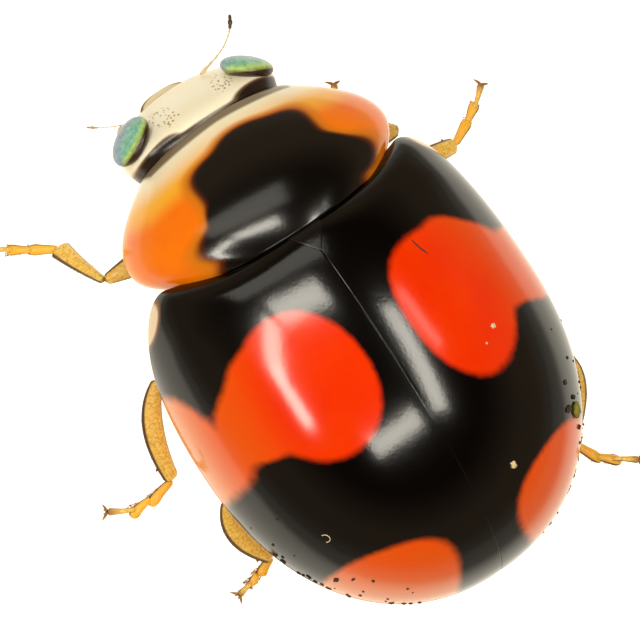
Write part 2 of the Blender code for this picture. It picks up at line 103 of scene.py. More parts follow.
def grid_faces(rows, columns):
    """Quads between the neighbouring points of a grid that is stored row by row."""
    corner = np.arange(rows * columns).reshape(rows, columns)
    around = (corner[:-1, :-1], corner[1:, :-1], corner[1:, 1:], corner[:-1, 1:])
    return np.stack(around, axis=-1).reshape(-1, 4)


def grid_shape(points, **fields):
    """A shape from a grid of points: its points, its faces and its named fields.

    A field is one value for the whole, one for each row, or one for each point.
    """
    spread = {}
    for name, value in fields.items():
        value = np.asarray(value, float)
        value = value[:, None] if value.ndim == 1 else value
        spread[name] = np.broadcast_to(value, points.shape[:2]).ravel()
    return points.reshape(-1, 3), grid_faces(*points.shape[:2]), spread


def joined(shapes):
    """Several shapes end to end as one. A field that one of them lacks is 0 there."""
    sizes = [len(shape[0]) for shape in shapes]
    starts = np.cumsum([0] + sizes[:-1])
    points = np.concatenate([shape[0] for shape in shapes])
    faces = np.concatenate([shape[1] + start for shape, start in zip(shapes, starts)])
    names = sorted({name for shape in shapes for name in shape[2]})
    fields = {name: np.concatenate([shape[2].get(name, np.zeros(size))
                                    for shape, size in zip(shapes, sizes)]) for name in names}
    return points, faces, fields


def make_piece(name, shape, material, slot=None, *nodes):
    """The object for a shape, in place of the named CAD nodes. Points that meet are merged,
    which closes poles and seams, and then the faces are turned outwards. The slot is not
    used."""
    points, faces, fields = shape
    mesh = bpy.data.meshes.new(name)
    mesh.from_pydata(points * MM + ORIGIN, [], faces)
    for field, values in fields.items():
        mesh.attributes.new(field, "FLOAT", "POINT").data.foreach_set("value", values)
    bm = bmesh.new()
    bm.from_mesh(mesh)
    bmesh.ops.remove_doubles(bm, verts=bm.verts[:], dist=2e-5 * MM)
    bmesh.ops.recalc_face_normals(bm, faces=bm.faces[:])
    bm.to_mesh(mesh)
    bm.free()
    mesh.shade_smooth()
    mesh.materials.append(material)
    piece = bpy.data.objects.new(name, mesh)
    bpy.context.scene.collection.objects.link(piece)
    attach(piece, "root")
    if nodes:
        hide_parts(*nodes)
    return piece


def linear(code):
    """The linear colour of an sRGB hex code."""
    parts = [int(code[i:i + 2], 16) / 255 for i in (1, 3, 5)]
    light = [part / 12.92 if part <= 0.04045 else ((part + 0.055) / 1.055) ** 2.4 for part in parts]
    return (*light, 1.0)


def add_node(tree, kind, inputs, output=0, **settings):
    """The output of a new shader node with its settings and links.

    An input is a number, a linear colour, an sRGB hex code or the output that feeds it.
    """
    made = tree.nodes.new("ShaderNode" + kind)
    for key, value in settings.items():
        setattr(made, key, value)
    for key, value in inputs.items():
        if isinstance(value, bpy.types.NodeSocket):
            tree.links.new(value, made.inputs[key])
        else:
            made.inputs[key].default_value = linear(value) if isinstance(value, str) else value
    return made.outputs[output]


def new_material(name, roughness, ior):
    """A material of one gloss, with its node tree."""
    made = bpy.data.materials.new(name)
    made.use_nodes = True
    shader = made.node_tree.nodes["Principled BSDF"]
    shader.inputs["Roughness"].default_value = roughness
    shader.inputs["IOR"].default_value = ior
    return made, made.node_tree


def pattern(tree, kind, size, **inputs):
    """A texture laid on the piece's own coordinates, with features of a size in millimetres."""
    place = add_node(tree, "TexCoord", {}, "Object")
    return add_node(tree, "Tex" + kind, {"Vector": place, "Scale": 1 / (size * MM), **inputs})


def rising(tree, source, low, high):
    """A share that rises smoothly from 0 to 1 between two levels of an output, or of a
    mesh field that is given by its name."""
    if isinstance(source, str):
        source = add_node(tree, "Attribute", {}, "Fac", attribute_name=source)
    return add_node(tree, "MapRange", {"Value": source, "From Min": low, "From Max": high},
                    interpolation_type="SMOOTHSTEP")


def tinted(tree, colour, *tints):
    """A colour with tints laid over it in turn: each a share, or what rising needs for one,
    and its colour."""
    for share, tint in tints:
        share = rising(tree, *share) if isinstance(share, tuple) else share
        colour = add_node(tree, "Mix", {0: share, 6: colour, 7: tint}, 2, data_type="RGBA")
    return colour


def surfaced(made, colour, *reliefs, invert=False):
    """The material with its colour and with reliefs over one another: each the output that
    gives its height, its strength, and its depth in millimetres."""
    tree = made.node_tree
    shader = tree.nodes["Principled BSDF"]
    tree.links.new(colour, shader.inputs["Base Color"])
    under = {}
    for height, strength, depth in reliefs:
        bump = add_node(tree, "Bump", {"Height": height, "Strength": strength, "Distance": depth * MM,
                                       **under}, invert=invert)
        under = {"Normal": bump}
        tree.links.new(bump, shader.inputs["Normal"])
    return made


def barrel(y, half, seat, roof, keel, columns=97):
    """A closed body of rings set across y. Each ring is half an oval up to the roof and half
    a flatter one down to the keel, both standing on the seat. The first ring and the last
    are drawn together to a point."""
    shut = np.ones(len(y))
    shut[[0, -1]] = 0.0
    angle = np.linspace(-np.pi / 2, 1.5 * np.pi, columns)
    side = signed(np.cos(angle), 0.85)
    up = signed(np.sin(angle), 0.9)
    x = (half * shut)[:, None] * side
    lift = np.where(up > 0, (roof * shut)[:, None], (keel * shut)[:, None]) * up
    return np.stack([x, np.broadcast_to(y[:, None], x.shape), seat[:, None] + lift], axis=-1)


def belly_cuticle():
    """Sclerotised cuticle, tanned dark: satin, brown-black in the middle and amber towards
    the sides and at the plates' hind edges, with a fine leathery grain of 0.035 mm."""
    made, tree = new_material("tanned_belly_cuticle", 0.38, 1.56)
    cloud = pattern(tree, "Noise", 0.08, Detail=4.0)
    colour = tinted(tree, "#1c0f07", (cloud, "#3a2110"), (("edge", 0.55, 1.0), "#a86a24"),
                    (("seam", 0.80, 1.0), "#8a5a26"))
    return surfaced(made, colour, (pattern(tree, "Voronoi", 0.035), 0.35, 0.006))


BELLY = belly_cuticle()
BELLY_DEPTH = 0.52
BELLY_INSET = 0.42
PLATE_RELIEF = 0.05
BELLY_PLATE_ENDS = (0.02, 0.62, 0.96, 1.28, 1.58, 1.86, 2.14)
ROWS_PER_PLATE = 14


def belly_depth(y):
    """Depth of the belly under its seat: less where the body is narrower."""
    return BELLY_DEPTH * (0.45 + 0.55 * oval(y))


def abdomen():
    """Belly plates that each swell to their hind edge and step down onto the next one. Across
    they are the body's oval less the folded edge of the wing cases; the tail closes with
    the square root of 1 - t ** 4."""
    spans = zip(BELLY_PLATE_ENDS[:-1], BELLY_PLATE_ENDS[1:])
    y = np.concatenate([np.linspace(start, end, ROWS_PER_PLATE) for start, end in spans])
    swell = np.tile(np.linspace(0.0, 1.0, ROWS_PER_PLATE), len(BELLY_PLATE_ENDS) - 1)
    t = (y - y[0]) / (y[-1] - y[0])
    shut = np.sqrt(np.clip(1 - t ** 4, 0.02, 1.0))
    half = (dome_half(y) - BELLY_INSET) * shut * (1 + 0.012 * swell)
    keel = belly_depth(y) * shut * (1 + 0.045 * swell)
    roof = dome_rise(y) * shut * 0.85 - 0.12
    rings = barrel(y, half, np.full(len(y), MARGIN_Z + 0.03), roof, keel)
    edge = np.abs(rings[..., 0]) / np.maximum(half, 0.1)[:, None]
    return grid_shape(rings, edge=edge, seam=swell)


def trunk_plate(y, half, seat, roof, keel, relief):
    """A barrel with a relief of x and y added to the height of its underside."""
    rings = barrel(y, half, seat, roof, keel)
    lift = relief(rings[..., 0], rings[..., 1])
    rings[..., 2] += np.where(rings[..., 2] < seat[:, None], lift, 0.0)
    return grid_shape(rings, edge=np.abs(rings[..., 0]) / half[:, None], seam=0.0)


def chest():
    """The plate round the middle and hind legs, with a groove down its middle and a
    raised rim behind."""
    y = np.linspace(-2.12, 0.0, 60)
    half = np.minimum(dome_half(y) - BELLY_INSET, 1.72)
    keel = belly_depth(y) * (0.98 + 0.05 * np.clip((y + 0.25) / 0.2, 0, 1))
    roof = dome_rise(y) * 0.8 - 0.15
    return trunk_plate(y, half, margin_height(y) - 0.02, roof, keel, lambda x, y: (
        PLATE_RELIEF * np.exp(-(x / 0.06) ** 2) * np.exp(-((y + 0.55) / 0.5) ** 4)))


def breast():
    """The plate round the front legs, under the pronotum, with two keels between them."""
    y = np.linspace(-3.36, -2.16, 44)
    half = np.interp(y, (-3.4, -3.1, -2.6, -2.16), (0.62, 0.98, 1.22, 1.12))
    seat = np.interp(y, (-3.4, -2.16), (1.02, 1.30))
    keel = np.interp(y, (-3.4, -3.0, -2.16), (0.34, 0.58, 0.72))
    roof = np.interp(y, (-3.4, -2.16), (0.42, 0.86))
    return trunk_plate(y, half, seat, roof, keel, lambda x, y: (
        -PLATE_RELIEF * np.exp(-((np.abs(x) - 0.13) / 0.03) ** 2)))


make_piece("abdomen_plates", abdomen(), BELLY, "belly_cuticle", "abdomen")
make_piece("chest_plate", chest(), BELLY, "belly_cuticle", "thorax")
make_piece("breast_plate", breast(), BELLY, "belly_cuticle", "prothorax")


# --- Legs ---
# Each leg is amber cuticle that light shines through: a coxa like a bead in its socket, a
# flattened femur, a tibia with a dark sharp outer edge, and a foot of lobed joints with
# brushes under them and two toothed claws.
UP = np.array([0.0, 0.0, 1.0])


def unit(vectors):
    """Vectors, or a single one, drawn to a length of 1."""
    return vectors / np.linalg.norm(vectors, axis=-1, keepdims=True)


def limb(path, wide, deep, keel=1.0, sides=29, **fields):
    """A solid limb along a path, with an oval section across it at each of its points: wide
    is the half-width sideways, deep the half-depth upwards, and keel, under 1, draws the
    two sides out to edges. Sideways is the tangent crossed with up, and the field rim is
    1 on that side and -1 on the other."""
    tangent = np.gradient(path, axis=0)
    sideways = unit(np.cross(tangent, UP))
    upwards = unit(np.cross(sideways, tangent))
    angle = np.linspace(0, 2 * np.pi, sides)
    across = np.cos(angle)[None, :, None] * wide[:, None, None]
    over = signed(np.sin(angle), 1 / keel)[None, :, None] * deep[:, None, None]
    points = path[:, None, :] + sideways[:, None, :] * across + upwards[:, None, :] * over
    return grid_shape(points, rim=np.cos(angle)[None, :], **fields)


def round_ends(count, start, end):
    """Shares along a limb, and shares of its full thickness there: it closes on quarter
    ellipses over the given shares of its length at both ends."""
    t = np.linspace(0.0, 1.0, count)
    first = np.clip(1 - t / start, 0.0, 1.0)
    last = np.clip(1 - (1 - t) / end, 0.0, 1.0)
    return t, np.sqrt(1 - first ** 2) * np.sqrt(1 - last ** 2)


def bezier(points, t):
    """A smooth path led by two, three or four guide points: each round takes the points
    between neighbours, t of the way along, until one is left."""
    points = [np.array(point, float) for point in points]
    while len(points) > 1:
        points = [a + (b - a) * t[:, None] for a, b in zip(points[:-1], points[1:])]
    return points[0]


def bristles(roots, tips, radius, sag, sides=3):
    """Hairs as thin spikes of four rings, whose last ring is a point. A hair runs from its
    root to its tip and drops by 4 * sag * t * (1 - t) lengths in between."""
    t = np.array([0.0, 0.35, 0.7, 1.0])
    along = tips - roots
    length = np.linalg.norm(along, axis=1, keepdims=True)
    aside = unit(np.cross(along, (0.31, 0.17, 0.93)))
    other = np.cross(along / length, aside)
    centre = roots[:, None] + along[:, None] * t[None, :, None]
    centre[..., 2] -= 4 * sag * t * (1 - t) * length
    angle = np.linspace(0, 2 * np.pi, sides + 1)
    ring = np.cos(angle)[:, None] * aside[:, None] + np.sin(angle)[:, None] * other[:, None]
    thick = (radius * np.sqrt(1 - t))[None, :, None, None]
    points = centre[:, :, None] + ring[:, None] * thick
    faces = grid_faces(len(t), sides + 1)
    starts = np.arange(len(roots))[:, None, None] * len(t) * (sides + 1)
    return points.reshape(-1, 3), (faces[None] + starts).reshape(-1, 4), {}


def leg_cuticle():
    """Thin tanned cuticle over clear flesh: golden amber, lit through, with a fine darker
    grain of 0.03 mm, dark brown along its outer edge and brown along the inner one."""
    made, tree = new_material("amber_leg_cuticle", 0.35, 1.54)
    cloud = pattern(tree, "Noise", 0.03, Detail=4.0, Roughness=0.7)
    grain = add_node(tree, "MapRange", {"Value": cloud, "From Min": 0.42, "From Max": 0.72})
    colour = tinted(tree, "#fcd468", (grain, "#c88a24"), (("foot", 0.2, 0.9), "#fdbc30"),
                    (("rim", -0.80, -0.97), "#8a4c12"), (("rim", 0.66, 0.84), "#4a2208"),
                    (("joint", 0.55, 1.0), "#7a4416"))
    shader = tree.nodes["Principled BSDF"].inputs
    shader["Subsurface Weight"].default_value = 0.25
    shader["Subsurface Radius"].default_value = (0.10, 0.05, 0.015)
    shader["Subsurface Scale"].default_value = MM
    return surfaced(made, colour, (pattern(tree, "Voronoi", 0.022), 0.5, 0.006))


def speckled(name, roughness, ior, size, first, second, detail=2.0):
    """A material of one colour speckled with another, with specks of a size in millimetres."""
    made, tree = new_material(name, roughness, ior)
    specks = pattern(tree, "Noise", size, Detail=detail)
    return surfaced(made, tinted(tree, first, (specks, second)))


def seta(name, code):
    """A hair of clear chitin: glossy, and almost of one colour because it is so thin."""
    dark = (*[part * 0.6 for part in linear(code)[:3]], 1.0)
    return speckled(name, 0.35, 1.56, 0.05, dark, code)


LEG = leg_cuticle()
SETA = seta("golden_seta", "#dca04a")
BRUSH = seta("foot_brush_seta", "#f2a21e")

# Each leg's hip, knee, bend of the tibia, ankle, the ends of its two broad foot joints and
# the root of its claws.
JOINTS = {name: np.array(points) for name, points in {
    "front_left": ((0.50, -2.78, 0.62), (1.93, -2.90, 0.62), (2.06, -3.25, 0.42), (2.08, -3.50, 0.16),
                   (2.38, -3.69, 0.10), (2.60, -3.83, 0.10), (2.82, -3.97, 0.13)),
    "front_right": ((-0.50, -2.70, 0.62), (-1.95, -2.50, 0.64), (-1.62, -2.86, 0.40), (-1.28, -2.94, 0.16),
                    (-1.48, -3.07, 0.10), (-1.62, -3.18, 0.10), (-1.71, -3.36, 0.13)),
    "middle_left": ((0.62, -1.35, 0.58), (2.04, -1.60, 0.62), (2.46, -1.32, 0.46), (2.46, -0.55, 0.16),
                    (2.83, -0.50, 0.10), (3.08, -0.52, 0.10), (3.30, -0.66, 0.13)),
    "middle_right": ((-0.62, -1.30, 0.58), (-1.44, -2.06, 0.64), (-2.00, -2.08, 0.42), (-2.52, -2.00, 0.16),
                     (-2.84, -2.16, 0.10), (-3.02, -2.28, 0.10), (-3.18, -2.42, 0.13)),
    "hind_left": ((0.62, -0.15, 0.58), (2.14, 0.00, 0.62), (2.39, 0.34, 0.44), (1.98, 0.82, 0.16),
                  (2.26, 0.91, 0.10), (2.40, 0.95, 0.10), (2.54, 0.98, 0.13)),
    "hind_right": ((-0.62, -0.10, 0.58), (-2.05, 0.66, 0.62), (-2.32, 1.02, 0.46), (-1.72, 1.62, 0.16),
                   (-1.90, 1.98, 0.10), (-2.08, 2.10, 0.10), (-2.29, 2.25, 0.13)),
}.items()}
# How far, in millimetres, the lobes of a foot hang to one side, as plan directions.
LOBES = {"middle_left": (0.01, 0.06), "hind_left": (-0.05, 0.03), "hind_right": (-0.03, 0.05)}
# Half-widths and half-depths of the femur and the coxa where they are thickest.
FEMUR_SIZE = (0.165, 0.11)
COXA_SIZE = (0.17, 0.15)
TOOTH_SHARE = 0.86
CLAW_LENGTH = 0.11
CLAW_SPREAD = np.radians(62)
# The half-width of the brush under each broad foot joint, and its number of hairs.
BRUSHES = ((0.085, 220), (0.095, 200))
BRUSH_LENGTH = 0.07
BRUSH_RADIUS = 0.006
SOLE_Z = 0.004
HAIRS_PER_TIBIA = 110
HAIR_RADIUS = 0.0028
rng = np.random.default_rng(7)


def outer_side(name):
    """1 or -1, the field rim's sign at the tibia's outer edge, which lies on the far side of
    the chord from knee to ankle."""
    knee, bend, ankle = JOINTS[name][1:4]
    return -np.sign(np.cross(ankle - knee, bend - knee)[2])


def blade_width(name, t):
    """Half-width of the tibia: a long oval blade, or on a front leg one that widens all
    the way to the foot."""
    if name.startswith("front"):
        return 0.045 + 0.085 * t ** 0.9
    return 0.072 + 0.045 * np.sin(np.pi * t) + 0.018 * t


def leg_femur(name):
    """Coxa and femur: a bead and a flattened spindle."""
    hip, knee = JOINTS[name][:2]
    t, shut = round_ends(40, 0.06, 0.05)
    spindle = 0.72 + 0.42 * np.sin(np.pi * np.clip(t * 1.05, 0, 1)) - 0.12 * t
    spindle = spindle * (1 - 0.35 * t ** 5) * shut
    path = bezier((hip, hip * 0.5 + knee * 0.5 + (0, 0, 0.03), knee), t)
    femur = limb(path, *np.outer(FEMUR_SIZE, spindle), 0.8, joint=np.clip((t - 0.93) / 0.07, 0, 1))
    t, shut = round_ends(30, 0.4, 0.4)
    path = bezier((hip * (0.32, 1.0, 1.0) + (0, 0.02, 0.05), hip + (0, 0, 0.04)), t)
    return joined([femur, limb(path, *np.outer(COXA_SIZE, shut), joint=0.6)])


def leg_tibia(name):
    """A flat blade with edges drawn out to keels; the outer one is dark and has a small
    tooth near the foot."""
    corners = JOINTS[name][1:4]
    outer = outer_side(name)
    t, shut = round_ends(60, 0.05, 0.04)
    ends = 1 - np.clip(t / 0.06, 0, 1) + np.clip((t - 0.95) / 0.05, 0, 1)
    points, faces, fields = limb(bezier(corners, t), blade_width(name, t) * shut, (0.062 + 0.01 * t) * shut,
                                 0.75, joint=ends)
    fields["rim"] = fields["rim"] * outer
    place, ahead = bezier(corners, TOOTH_SHARE + np.array([0.0, 0.04]))
    forward = unit(ahead - place)
    outward = np.cross(forward, UP) * outer
    root = place + outward * blade_width(name, TOOTH_SHARE) * 0.75
    t, shut = round_ends(10, 0.2, 0.3)
    thin = (1 - 0.7 * t) * shut
    tooth = limb(bezier((root, root + outward * 0.06 + forward * 0.03), t), 0.028 * thin, 0.025 * thin,
                 sides=11, joint=1.0)
    return joined([(points, faces, fields), tooth])


def foot_joint(start, end, narrow, broad, thick, lobe):
    """A tarsus joint: narrow where it starts, broad and round where it ends, and bent
    to the side of its lobe."""
    t, shut = round_ends(26, 0.15, 0.35)
    path = bezier((start, start * 0.4 + end * 0.6, end + lobe), t)
    return limb(path, (narrow + (broad - narrow) * t ** 1.3) * shut, thick * shut, 0.9, sides=21, foot=1.0)


def claw(root, forward, sign):
    """A hooked claw that bends from outwards to down, with a broad tooth at its base."""
    sideways = np.cross(forward, UP) * sign
    reach = (forward * np.cos(CLAW_SPREAD) + sideways * np.sin(CLAW_SPREAD)) * CLAW_LENGTH
    t, shut = round_ends(16, 0.1, 0.5)
    path = bezier((root, root + reach * 0.7 + (0, 0, 0.03), root + reach + (0, 0, -0.09)), t)
    thick = 0.022 * (1 - 0.75 * t) * shut
    hook = limb(path, thick, thick * 1.2, sides=13, joint=0.9)
    t, shut = round_ends(8, 0.2, 0.5)
    stub = bezier((path[2], path[2] + forward * 0.035 + sideways * 0.01 + (0, 0, -0.045)), t)
    thick = 0.016 * (1 - 0.6 * t) * shut
    return [hook, limb(stub, thick, thick, sides=9, joint=0.9)]


def leg_tarsus(name):
    """The foot: a long joint, a broad lobed one, the slender claw joint that springs from
    between its lobes, and the claws."""
    ankle, first, second, root = JOINTS[name][3:]
    start = ankle - (0, 0, 0.02)
    lobe = np.array((*LOBES.get(name, (0.0, 0.0)), -0.01))
    t, shut = round_ends(30, 0.08, 0.06)
    arch = bezier((second * 0.75 + first * 0.25 + (0, 0, 0.02), second + (0, 0, 0.10), root), t)
    thick = (0.026 + 0.022 * t ** 3) * shut
    forward = unit((root - second) * (1, 1, 0))
    return joined([foot_joint(start, first, 0.045, 0.080, 0.045, lobe),
                   foot_joint(first - (first - start) * 0.12, second, 0.04, 0.080, 0.04, lobe * 1.3),
                   limb(arch, thick, thick, sides=17, foot=0.3, joint=t * 0.9),
                   *claw(root, forward, 1), *claw(root, forward, -1)])


def brush(start, end, broad, count):
    """A foot brush: hairs that leave the sole of a joint down and outwards."""
    t = rng.uniform(0.25, 1.0, count)
    forward = unit(end - start)
    sideways = np.cross(forward, UP)
    across = rng.uniform(-1, 1, count)
    width = broad * (0.35 + 0.40 * t)
    roots = start + (end - start) * t[:, None] + sideways * (across * width)[:, None]
    roots[:, 2] -= 0.02
    reach = rng.uniform(0.7, 1.1, count)[:, None] * BRUSH_LENGTH
    lean = sideways * (across * 0.15)[:, None] + forward * rng.uniform(0.0, 0.3, (count, 1))
    tips = roots + reach * (lean + (0, 0, -0.55))
    tips[:, 2] = np.maximum(tips[:, 2], SOLE_Z)
    return bristles(roots, tips, BRUSH_RADIUS, 0.0)


def leg_hairs(name):
    """Short hairs along both edges of the tibia, which lean to the foot."""
    corners = JOINTS[name][1:4]
    count = HAIRS_PER_TIBIA
    t = rng.uniform(0.06, 1.0, count)
    path = bezier(corners, t)
    tangent = unit(bezier(corners, np.minimum(t + 0.02, 1.02)) - path)
    sideways = unit(np.cross(tangent, UP)) * rng.choice((-1.0, 1.0), count)[:, None]
    roots = path + sideways * blade_width(name, t)[:, None] * rng.uniform(0.5, 0.95, (count, 1))
    roots[:, 2] += rng.uniform(-0.03, 0.03, count)
    length = rng.uniform(0.025, 0.050, (count, 1))
    tips = roots + length * (sideways * 0.55 + tangent + rng.normal(0, 0.15, (count, 3)))
    return bristles(roots, tips, HAIR_RADIUS, 0.05)


brushes = []
hairs = []
for name in JOINTS:
    make_piece(name + "_femur_cuticle", leg_femur(name), LEG, "leg_cuticle", name + "_femur")
    make_piece(name + "_tibia_cuticle", leg_tibia(name), LEG, "leg_cuticle", name + "_tibia")
    make_piece(name + "_foot", leg_tarsus(name), LEG, "leg_cuticle", name + "_tarsus")
    for start, end, (broad, count) in zip(JOINTS[name][3:5], JOINTS[name][4:6], BRUSHES):
        brushes.append(brush(start, end, broad, count))
    hairs.append(leg_hairs(name))
make_piece("foot_brushes", joined(brushes), BRUSH, "leg_cuticle")
make_piece("leg_hairs", joined(hairs), SETA, "leg_cuticle")


# --- Head ---
# The head capsule is one hard cream shell, broad and blunt, with a black band across its
# back that slides under the pronotum: a dark patch on each side, joined across the middle by a
# thin painted shadow where the head meets the pronotum's rim. Small brown pits lie scattered over the face.
HEAD_AT = np.array([0.05, -3.85, 0.95])
HEAD_HALF = np.array([1.04, 0.37, 0.57])
HEAD_TILT = np.radians(-24)
HEAD_ROLL = np.radians(-4)
# The black band at the back fades out below this height.
BAND_Z = 1.0
HEAD_TURN = np.array(Matrix.Rotation(HEAD_ROLL, 3, "Y") @ Matrix.Rotation(HEAD_TILT, 3, "X"))


def posed(points):
    """Head points from the head's own frame into the beetle's: turned, then moved."""
    return points @ HEAD_TURN.T + HEAD_AT


def blob(x, y, middle, half, turn=0.0, power=2.0):
    """How deep a place lies inside an oval, in millimetres: 0 on its outline, less outside.
    The share of its radius is (|along| ** power + |across| ** power) ** (1 / power)."""
    c, s = np.cos(np.radians(turn)), np.sin(np.radians(turn))
    dx, dy = x - middle[0], y - middle[1]
    along = np.abs(dx * c + dy * s) / half[0]
    across = np.abs(dy * c - dx * s) / half[1]
    return (1 - (along ** power + across ** power) ** (1 / power)) * min(half)


def united(x, y, softness, *blobs):
    """The depth inside several blobs, given by their middle, half-sizes, turn and power,
    with rounded inner corners: softness * log of the sum of exp(depth / softness)."""
    levels = np.stack([blob(x, y, *shape) for shape in blobs])
    return softness * np.log(np.sum(np.exp(levels / softness), axis=0))


def pebble(half, power, rows=61, columns=91):
    """A ball pushed out to a superellipsoid, with its poles on its left and right. Each
    direction is stretched by (sum of its parts to the power) ** (-1 / power), and then by
    the three half-sizes."""
    across = np.linspace(-np.pi / 2, np.pi / 2, rows)[:, None]
    around = np.linspace(0, 2 * np.pi, columns)[None, :]
    ball = np.stack(np.broadcast_arrays(np.sin(across), np.cos(across) * np.cos(around),
                                        np.cos(across) * np.sin(around)), axis=-1)
    stretch = (np.abs(ball) ** power).sum(axis=-1, keepdims=True) ** (-1 / power)
    return ball * stretch * half


def head_capsule():
    """A pebble with its rear drawn out under the pronotum and its front squared to a face.

    In front of the middle, the share of the depth is raised to a power under 1, and the
    width shrinks to leave the corners to the eyes. Fields: the depth inside the black
    band at the back, which fades low on the sides and whose middle is a painted shadow
    under the pronotum's rim, and inside the face's pitted places.
    """
    x, y, z = np.moveaxis(pebble(HEAD_HALF, 2.4, 181, 221), -1, 0)
    ahead = np.clip(-y / HEAD_HALF[1], 0.0, 1.0)
    x = x * (1 - 0.34 * ahead ** 1.5 - 0.09 * np.clip(y / HEAD_HALF[1], 0.0, 1.0))
    y = np.where(y > 0, y * 1.9, -HEAD_HALF[1] * ahead ** 0.6)
    y = y - 0.03 * np.exp(-(x / 0.5) ** 4) * np.exp(-((z + 0.36) / 0.14) ** 2) * (y < 0)
    points = posed(np.stack([x, y, z], axis=-1))
    x, y, z = np.moveaxis(points, -1, 0)
    # The black band: a dark patch on each side, and, from the third oval, a thin painted shadow across the
    # middle where the head meets the pronotum's rim.
    black = united(x, y, 0.01, ((0.74, -3.67), (0.34, 0.165), 15, 2.5),
                   ((-0.74, -3.68), (0.42, 0.18), -14, 1.8), ((0.05, -3.70), (0.90, 0.11)))
    pitted = united(x, y, 0.02, ((0.42, -4.07), (0.20, 0.13), -10), ((-0.36, -4.07), (0.18, 0.12), 10))
    return grid_shape(points, black=black - 1.5 * np.maximum(BAND_Z - z, 0.0), pitted=pitted)


def head_cuticle():
    """Pale cuticle over white fat: cream with a faint clouding, small brown pits 0.05 mm
    apart in two loose patches, and a black band at the back with a soft brown edge, whose
    middle is a painted shadow under the pronotum's rim."""
    made, tree = new_material("cream_head_cuticle", 0.26, 1.54)
    cloud = pattern(tree, "Noise", 0.25, Detail=5.0)
    pits = pattern(tree, "Voronoi", 0.05, Randomness=0.9)
    pitted = add_node(tree, "Math", {0: rising(tree, pits, 0.36, 0.22),
                                     1: rising(tree, "pitted", -0.02, 0.03)}, operation="MULTIPLY")
    colour = tinted(tree, "#fff0cc", (cloud, "#fffae6"), (pitted, "#b08e60"),
                    (("black", -0.025, 0.005), "#6b4a2c"), (("black", -0.005, 0.03), "#22130c"))
    return surfaced(made, colour, (pitted, 0.6, 0.006), invert=True)


make_piece("head_capsule", head_capsule(), head_cuticle(), "head_cuticle", "head")


# --- Eyes ---
# A compound eye is an oval dome of some hundreds of lenses, each 0.02 mm across, let into
# the side of the head. Its cornea is clear, and the green sheen of its layers, violet low
# down, is painted into its colour by place on the eye.
EYE_AT = np.array([0.82, -0.27, 0.10])
EYE_HALF = np.array([0.31, 0.125, 0.30])
EYE_TURN = 34.0
# Where the brown patch, the dark side of the painted sheen, lies from the middle of each eye; the longer, the
# larger it is.
PATCH_WAY = {"left": np.array([-0.75, 1.45, 0.27]), "right": np.array([0.25, 1.15, 0.07])}


def eye(side, sign):
    """A flat pebble turned to face forwards and outwards. Its fields are the parts of the
    direction from its middle towards the brown patch, rear, and upwards, top."""
    turn = np.array(Matrix.Rotation(np.radians(EYE_TURN * sign), 3, "Z"))
    points = pebble(EYE_HALF, 2.1)
    way = points / EYE_HALF @ turn.T @ HEAD_TURN.T
    place = posed(points @ turn.T + EYE_AT * (sign, 1, 1) + (0.03, 0, 0))
    return grid_shape(place, rear=way @ PATCH_WAY[side], top=way[..., 2])


def eye_cornea():
    """Clear chitin lenses with a painted sheen from thin layers that interfere, laid on by
    place on the eye: green in the middle, teal in front, blue-violet low down and olive to
    dark brown behind, with a facet bump."""
    made, tree = new_material("faceted_cornea", 0.3, 1.56)
    streak = pattern(tree, "Noise", 0.06, Detail=4.0, Roughness=0.7)
    share = add_node(tree, "MapRange", {"Value": streak, "From Min": 0.25, "From Max": 0.75})
    teal, green, violet, olive = (tinted(tree, dark, (share, light)) for dark, light in (
        ("#3c9480", "#9cd8c4"), ("#86b864", "#d0ec9c"), ("#60709a", "#8fb4bc"), ("#6c7420", "#aeb850")))
    # Painted sheen: these colours go by place on the eye, not by the view.
    colour = tinted(tree, teal, (("rear", -0.60, -0.05), green), (("top", 0.62, 0.28), violet),
                    (("rear", -0.05, 0.26), olive), (("rear", 0.24, 0.46), "#2e190d"))
    facets = pattern(tree, "Voronoi", 0.022, Randomness=0.15)
    return surfaced(made, colour, (facets, 0.35, 0.005), invert=True)


CORNEA = eye_cornea()
SIDES = (("left", 1), ("right", -1))
for side, sign in SIDES:
    make_piece(side + "_eye_cornea", eye(side, sign), CORNEA, "eye_cornea", side + "_eye")


# --- Mouth and feelers ---
# The upper lip and the jaw feelers are amber cuticle hinged to the front of the head; each
# jaw feeler ends in a hatchet-shaped joint. The antennae are straw-coloured rods of eleven
# beads, the last three a dark club, rooted between the eyes.
LIP_AT = np.array([0.12, -0.27, -0.35])
LIP_HALF = (0.34, 0.17, 0.05)
LIP_TURN = np.array(Matrix.Rotation(np.radians(52), 3, "X"))
FEELER_PATHS = {
    "left": ((0.58, -4.20, 0.86), (0.86, -4.30, 0.92), (0.96, -4.33, 0.92), (1.14, -4.48, 0.80)),
    "right": ((-0.30, -4.28, 0.86), (-0.52, -4.34, 0.94), (-0.82, -4.38, 0.92), (-0.97, -4.67, 0.86)),
}
FEELER_BEADS = (0.15, 0.09, 0.10, 0.08, 0.075, 0.07, 0.065, 0.06, 0.045, 0.045, 0.05)
FEELER_RADII = (0.026, 0.020, 0.014, 0.012, 0.012, 0.012, 0.012, 0.014, 0.024, 0.034, 0.024)
FEELER_FLATNESS = 0.6
CLUB_START = 8
CLUB_DARKNESS = {"left": 0.5, "right": 1.0}


def mouth_cuticle():
    """Thin tanned cuticle: amber-brown, satin, darker at the joints, and pale on the lip."""
    made, tree = new_material("amber_mouth_cuticle", 0.34, 1.54)
    cloud = pattern(tree, "Noise", 0.08, Detail=4.0)
    colour = tinted(tree, "#8a5520", (cloud, "#d09a50"), (("pale", 0.4, 0.6), "#ecd9b4"),
                    (("joint", 0.5, 1.0), "#8c6444"))
    return surfaced(made, colour, (cloud, 0.4, 0.006))


